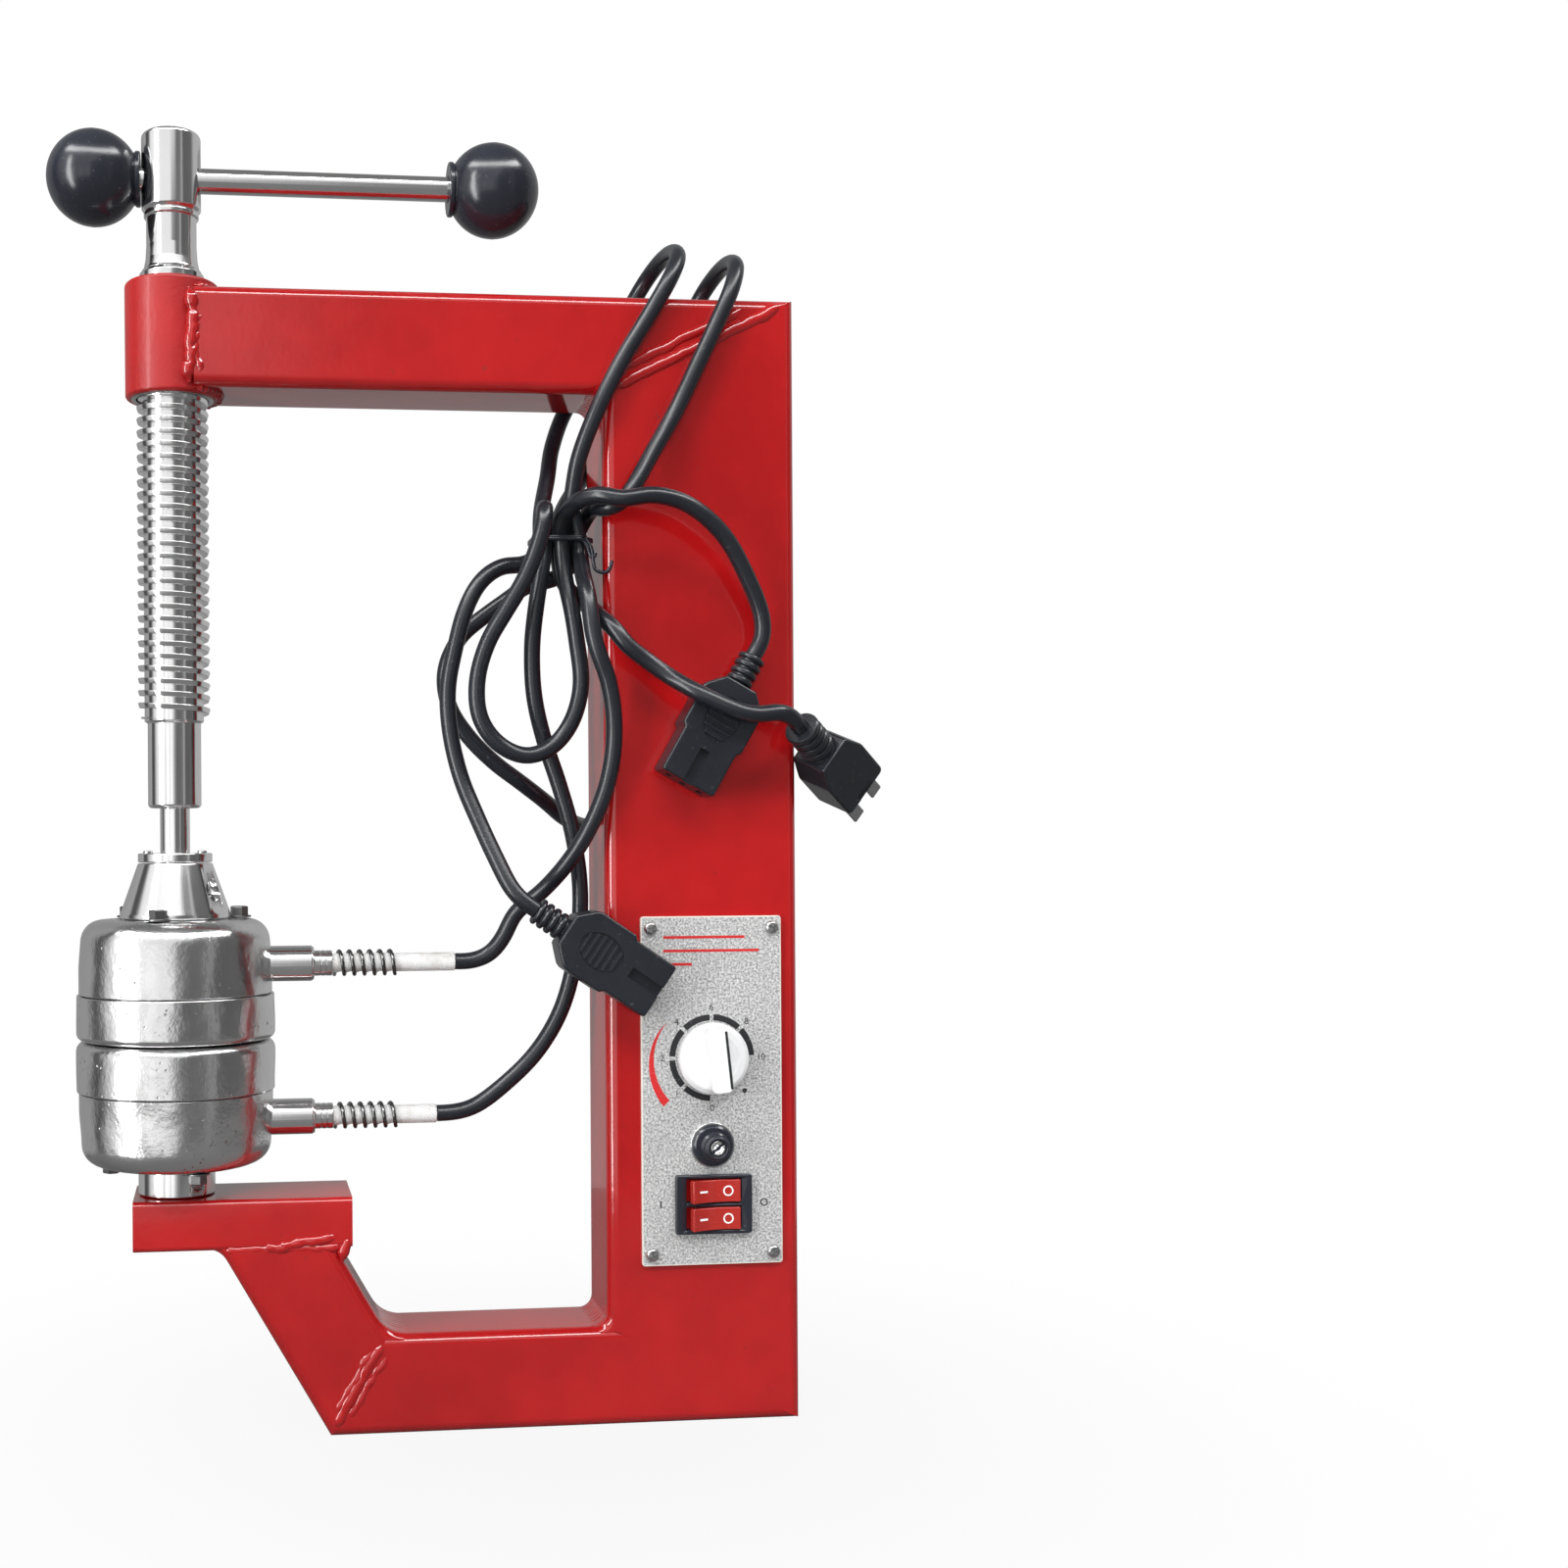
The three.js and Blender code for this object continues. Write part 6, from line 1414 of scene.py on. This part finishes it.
def made_connector(place):
    """An appliance connector, built along Z and put in place."""
    points = [(6.8, 13.5, 1.5), (13.6, 20.5, 5), (13.6, 38.1, 1.3), (12, 39.6, 1.3), (12, 59, 1.4)]
    oval = [(14.6 * x, 19.5 * z) for x, z in circle(0.5, 40)]
    cutters = [tilted(moulded(oval, low, low + 1.7, 0), z=30) for low in (-9, 7.3)]
    cutters.append(tilted(moulded(rectangle(4.4, 20, 0.3), 5.6, 9, 0), -1, z=54))
    for x, rise in ((-7, 1), (0, -1), (7, 1)):
        cutters.append(moved(moulded(rectangle(2.6, 4.8, 0.3), 45, 61, 0), x, rise))
    parts = [ribbed_relief(5.6, 13.5)]
    for i in range(6):
        z = (i - 2.5) * 2.9
        width = 13.4 * math.sqrt(1 - (z / 9.6) ** 2)
        for side in (1, -1):
            rib = moulded(rectangle(width, 1.5, 0.5), -0.4, 0.7, 0.35)
            parts.append(tilted(rib, -side, side * 7.3, 30 + z))
    raised = merged(*parts)
    raised.transform(place)
    return merged(carved(flat_moulding(points, 16), *cutters, place=place), raised)


ends = {}
for node, route in (
    ("upper_heater_connector", upper_heater_route),
    ("lower_heater_connector", lower_heater_route),
):
    connector = made_connector(at_cord_end(route))
    ends[node] = [put("moulded_" + node, connector, black_rubber, node)]

place = at_cord_end(mains_route)
plug_points = [(8.2, 17, 1.5), (12, 27.3, 6), (12, 48, 2.4), (3.5, 48, 0.8), (3.5, 45, 0.8)]
pin_x = 6.35
sockets = [moved(moulded(rectangle(6.9, 2.1, 0.3), 42.6, 50, 0), x) for x in (-pin_x, pin_x)]
plug_relief = ribbed_relief(7.2, 17)
plug_relief.transform(place)
plug = merged(carved(flat_moulding(plug_points, 18), *sockets, place=place), plug_relief)
ends["mains_plug"] = [put("moulded_mains_plug", plug, black_rubber, "mains_plug")]
for i, x in ((1, pin_x), (2, -pin_x)):
    blade = moved(moulded(rectangle(6.3, 1.5, 0.7), 43, 64, 0.5), x)
    blade = put(f"plated_plug_pin_{i}", blade, steel, f"mains_plug_pin_{i}", place=place)
    ends["mains_plug"].append(blade)


# Cords.
# Black PVC cords, tied in one bundle at the column's inner edge: one from each head's sleeve to
# its appliance connector, and the mains lead from the column's back to its plug.
cord_radius = 3.4


def smooth_route(points, steps):
    """The centripetal spline through the points, with this many steps from each to the next."""
    points = [Vector(p) for p in points]
    points = [points[0] * 2 - points[1], *points, points[-1] * 2 - points[-2]]
    drawn = []
    for i in range(1, len(points) - 2):
        before, here, ahead, after = points[i - 1:i + 3]
        gap = [(b - a).length ** 0.5 for a, b in ((before, here), (here, ahead), (ahead, after))]
        leave = (here - before) / gap[0] - (ahead - before) / (gap[0] + gap[1])
        leave = (leave + (ahead - here) / gap[1]) * gap[1]
        reach = (ahead - here) / gap[1] - (after - here) / (gap[1] + gap[2])
        reach = (reach + (after - ahead) / gap[2]) * gap[1]
        bend = 3 * (ahead - here) - 2 * leave - reach
        close = 2 * (here - ahead) + leave + reach
        for t in [j / steps for j in range(steps)]:
            drawn.append(here + leave * t + bend * t ** 2 + close * t ** 3)
    return drawn + [points[-2]]


def evenly(points, step):
    """The same line with its points about this far apart."""
    walked = [0]
    for here, ahead in zip(points, points[1:]):
        walked.append(walked[-1] + (ahead - here).length)
    count = round(walked[-1] / step)
    spaced = []
    i = 0
    for j in range(count):
        reach = walked[-1] * j / count
        while walked[i + 1] < reach:
            i += 1
        share = (reach - walked[i]) / (walked[i + 1] - walked[i])
        spaced.append(points[i].lerp(points[i + 1], share))
    return spaced + [points[-1]]


def relaxed(points, rounds):
    """The same line with its tightest bends eased and its ends held."""
    for _ in range(rounds):
        threes = zip(points, points[1:], points[2:])
        eased = [(before + 2 * here + after) / 4 for before, here, after in threes]
        points = [points[0], *eased, points[-1]]
    return points


def cord_tree():
    """Geometry Nodes: a round cord along the object's curve, faintly uneven in thickness."""
    tree, inputs = started_tree("pvc_cord", "Radius")
    uneven = tree.node("ShaderNodeTexNoise", {"Scale": 60.0, "Detail": 1.0})
    thickness = 0.98 + uneven * 0.04
    cord = swept(tree, inputs["Geometry"], 20, inputs["Radius"], Scale=thickness)
    return ended_tree(tree, inputs, cord)


pvc_cord = cord_tree()


def laid_cord(name, path, node, far_end):
    """A cord along a path in millimetres, of that path's own length, and its facts."""
    cord = grown(name, line(path), pvc_cord, radius=cord_radius * MM, finish=black_rubber)
    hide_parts(node)
    points = [tuple(p * MM) for p in path]
    length = sum((b - a).length for a, b in zip(path, path[1:])) * MM
    facts = {"length": length, "diameter": 2 * cord_radius * MM, "far_end": far_end}
    return cord, {"exit": points[0], "path": points, **facts}


upper_line, lower_line, mains_line = [
    relaxed(evenly(smooth_route(route, 8), 1.0), 12)
    for route in (upper_heater_route, lower_heater_route, mains_route)
]
tied = Vector((7.9, -11.8, 361))
tie_point = min(range(len(upper_line)), key=lambda i: (upper_line[i] - tied).length)
hanging = upper_line[:tie_point + 1]
bundled = upper_line[tie_point:]
head_cord, facts = laid_cord("pvc_upper_head_cord", hanging, "upper_heater_cord", "object")
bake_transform(head_cord)
for name, path, node, end in (
    ("upper_bundled", bundled, "upper_heater_cord", "upper_heater_connector"),
    ("lower_heater", lower_line, "lower_heater_cord", "lower_heater_connector"),
    ("mains", mains_line, "mains_cord", "mains_plug"),
):
    cord, facts = laid_cord(f"pvc_{name}_cord", path, node, end.split("_")[-1])
    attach(cord, "frame")


# Cable tie.
# A plastic-coated wire wound twice round the bundle and twisted into a short tail whose two ends
# are curled.
tie_wire = 0.75
wraps = 2
around_bundle = rectangle(2 * 11.4 + 2 * tie_wire, 2 * 8.5 + 2 * tie_wire, 5.2)
band_path = []
for i in range(wraps * len(around_bundle) + 1):
    x, y = around_bundle[i % len(around_bundle)]
    climb = 1.55 * (i / (wraps * len(around_bundle)) - 0.5)
    band_path.append(Vector((0.5, -8, 361)) + Vector((x, y, climb)))
tail_path = [
    (9.6, -16.6, 361.4), (11.2, -18.2, 358), (12, -18.6, 354.6), (12.2, -18.8, 351.2),
    (13, -19, 348.4), (15, -19.2, 347.2), (17.4, -19.3, 347.4), (19, -19.4, 349),
    (19.8, -19.4, 351.8),
]
end_path = [
    (8.6, -16.7, 360.6), (10, -18, 357.4), (10.9, -18.4, 354.4), (11.6, -18.5, 353.4),
    (12.8, -18.6, 353.8), (13.1, -18.6, 355),
]
strands = [
    grown("strand", line(path), pvc_cord, radius=tie_wire * MM, finish=black_plastic)
    for path in (band_path, smooth_route(tail_path, 5), smooth_route(end_path, 5))
]
tie = merged(*[strand.data for strand in strands])
tie.transform(Matrix.Scale(1 / MM, 4))
put("coated_wire_tie", tie, black_plastic, "cable_tie")
for strand in strands:
    bpy.data.objects.remove(strand)
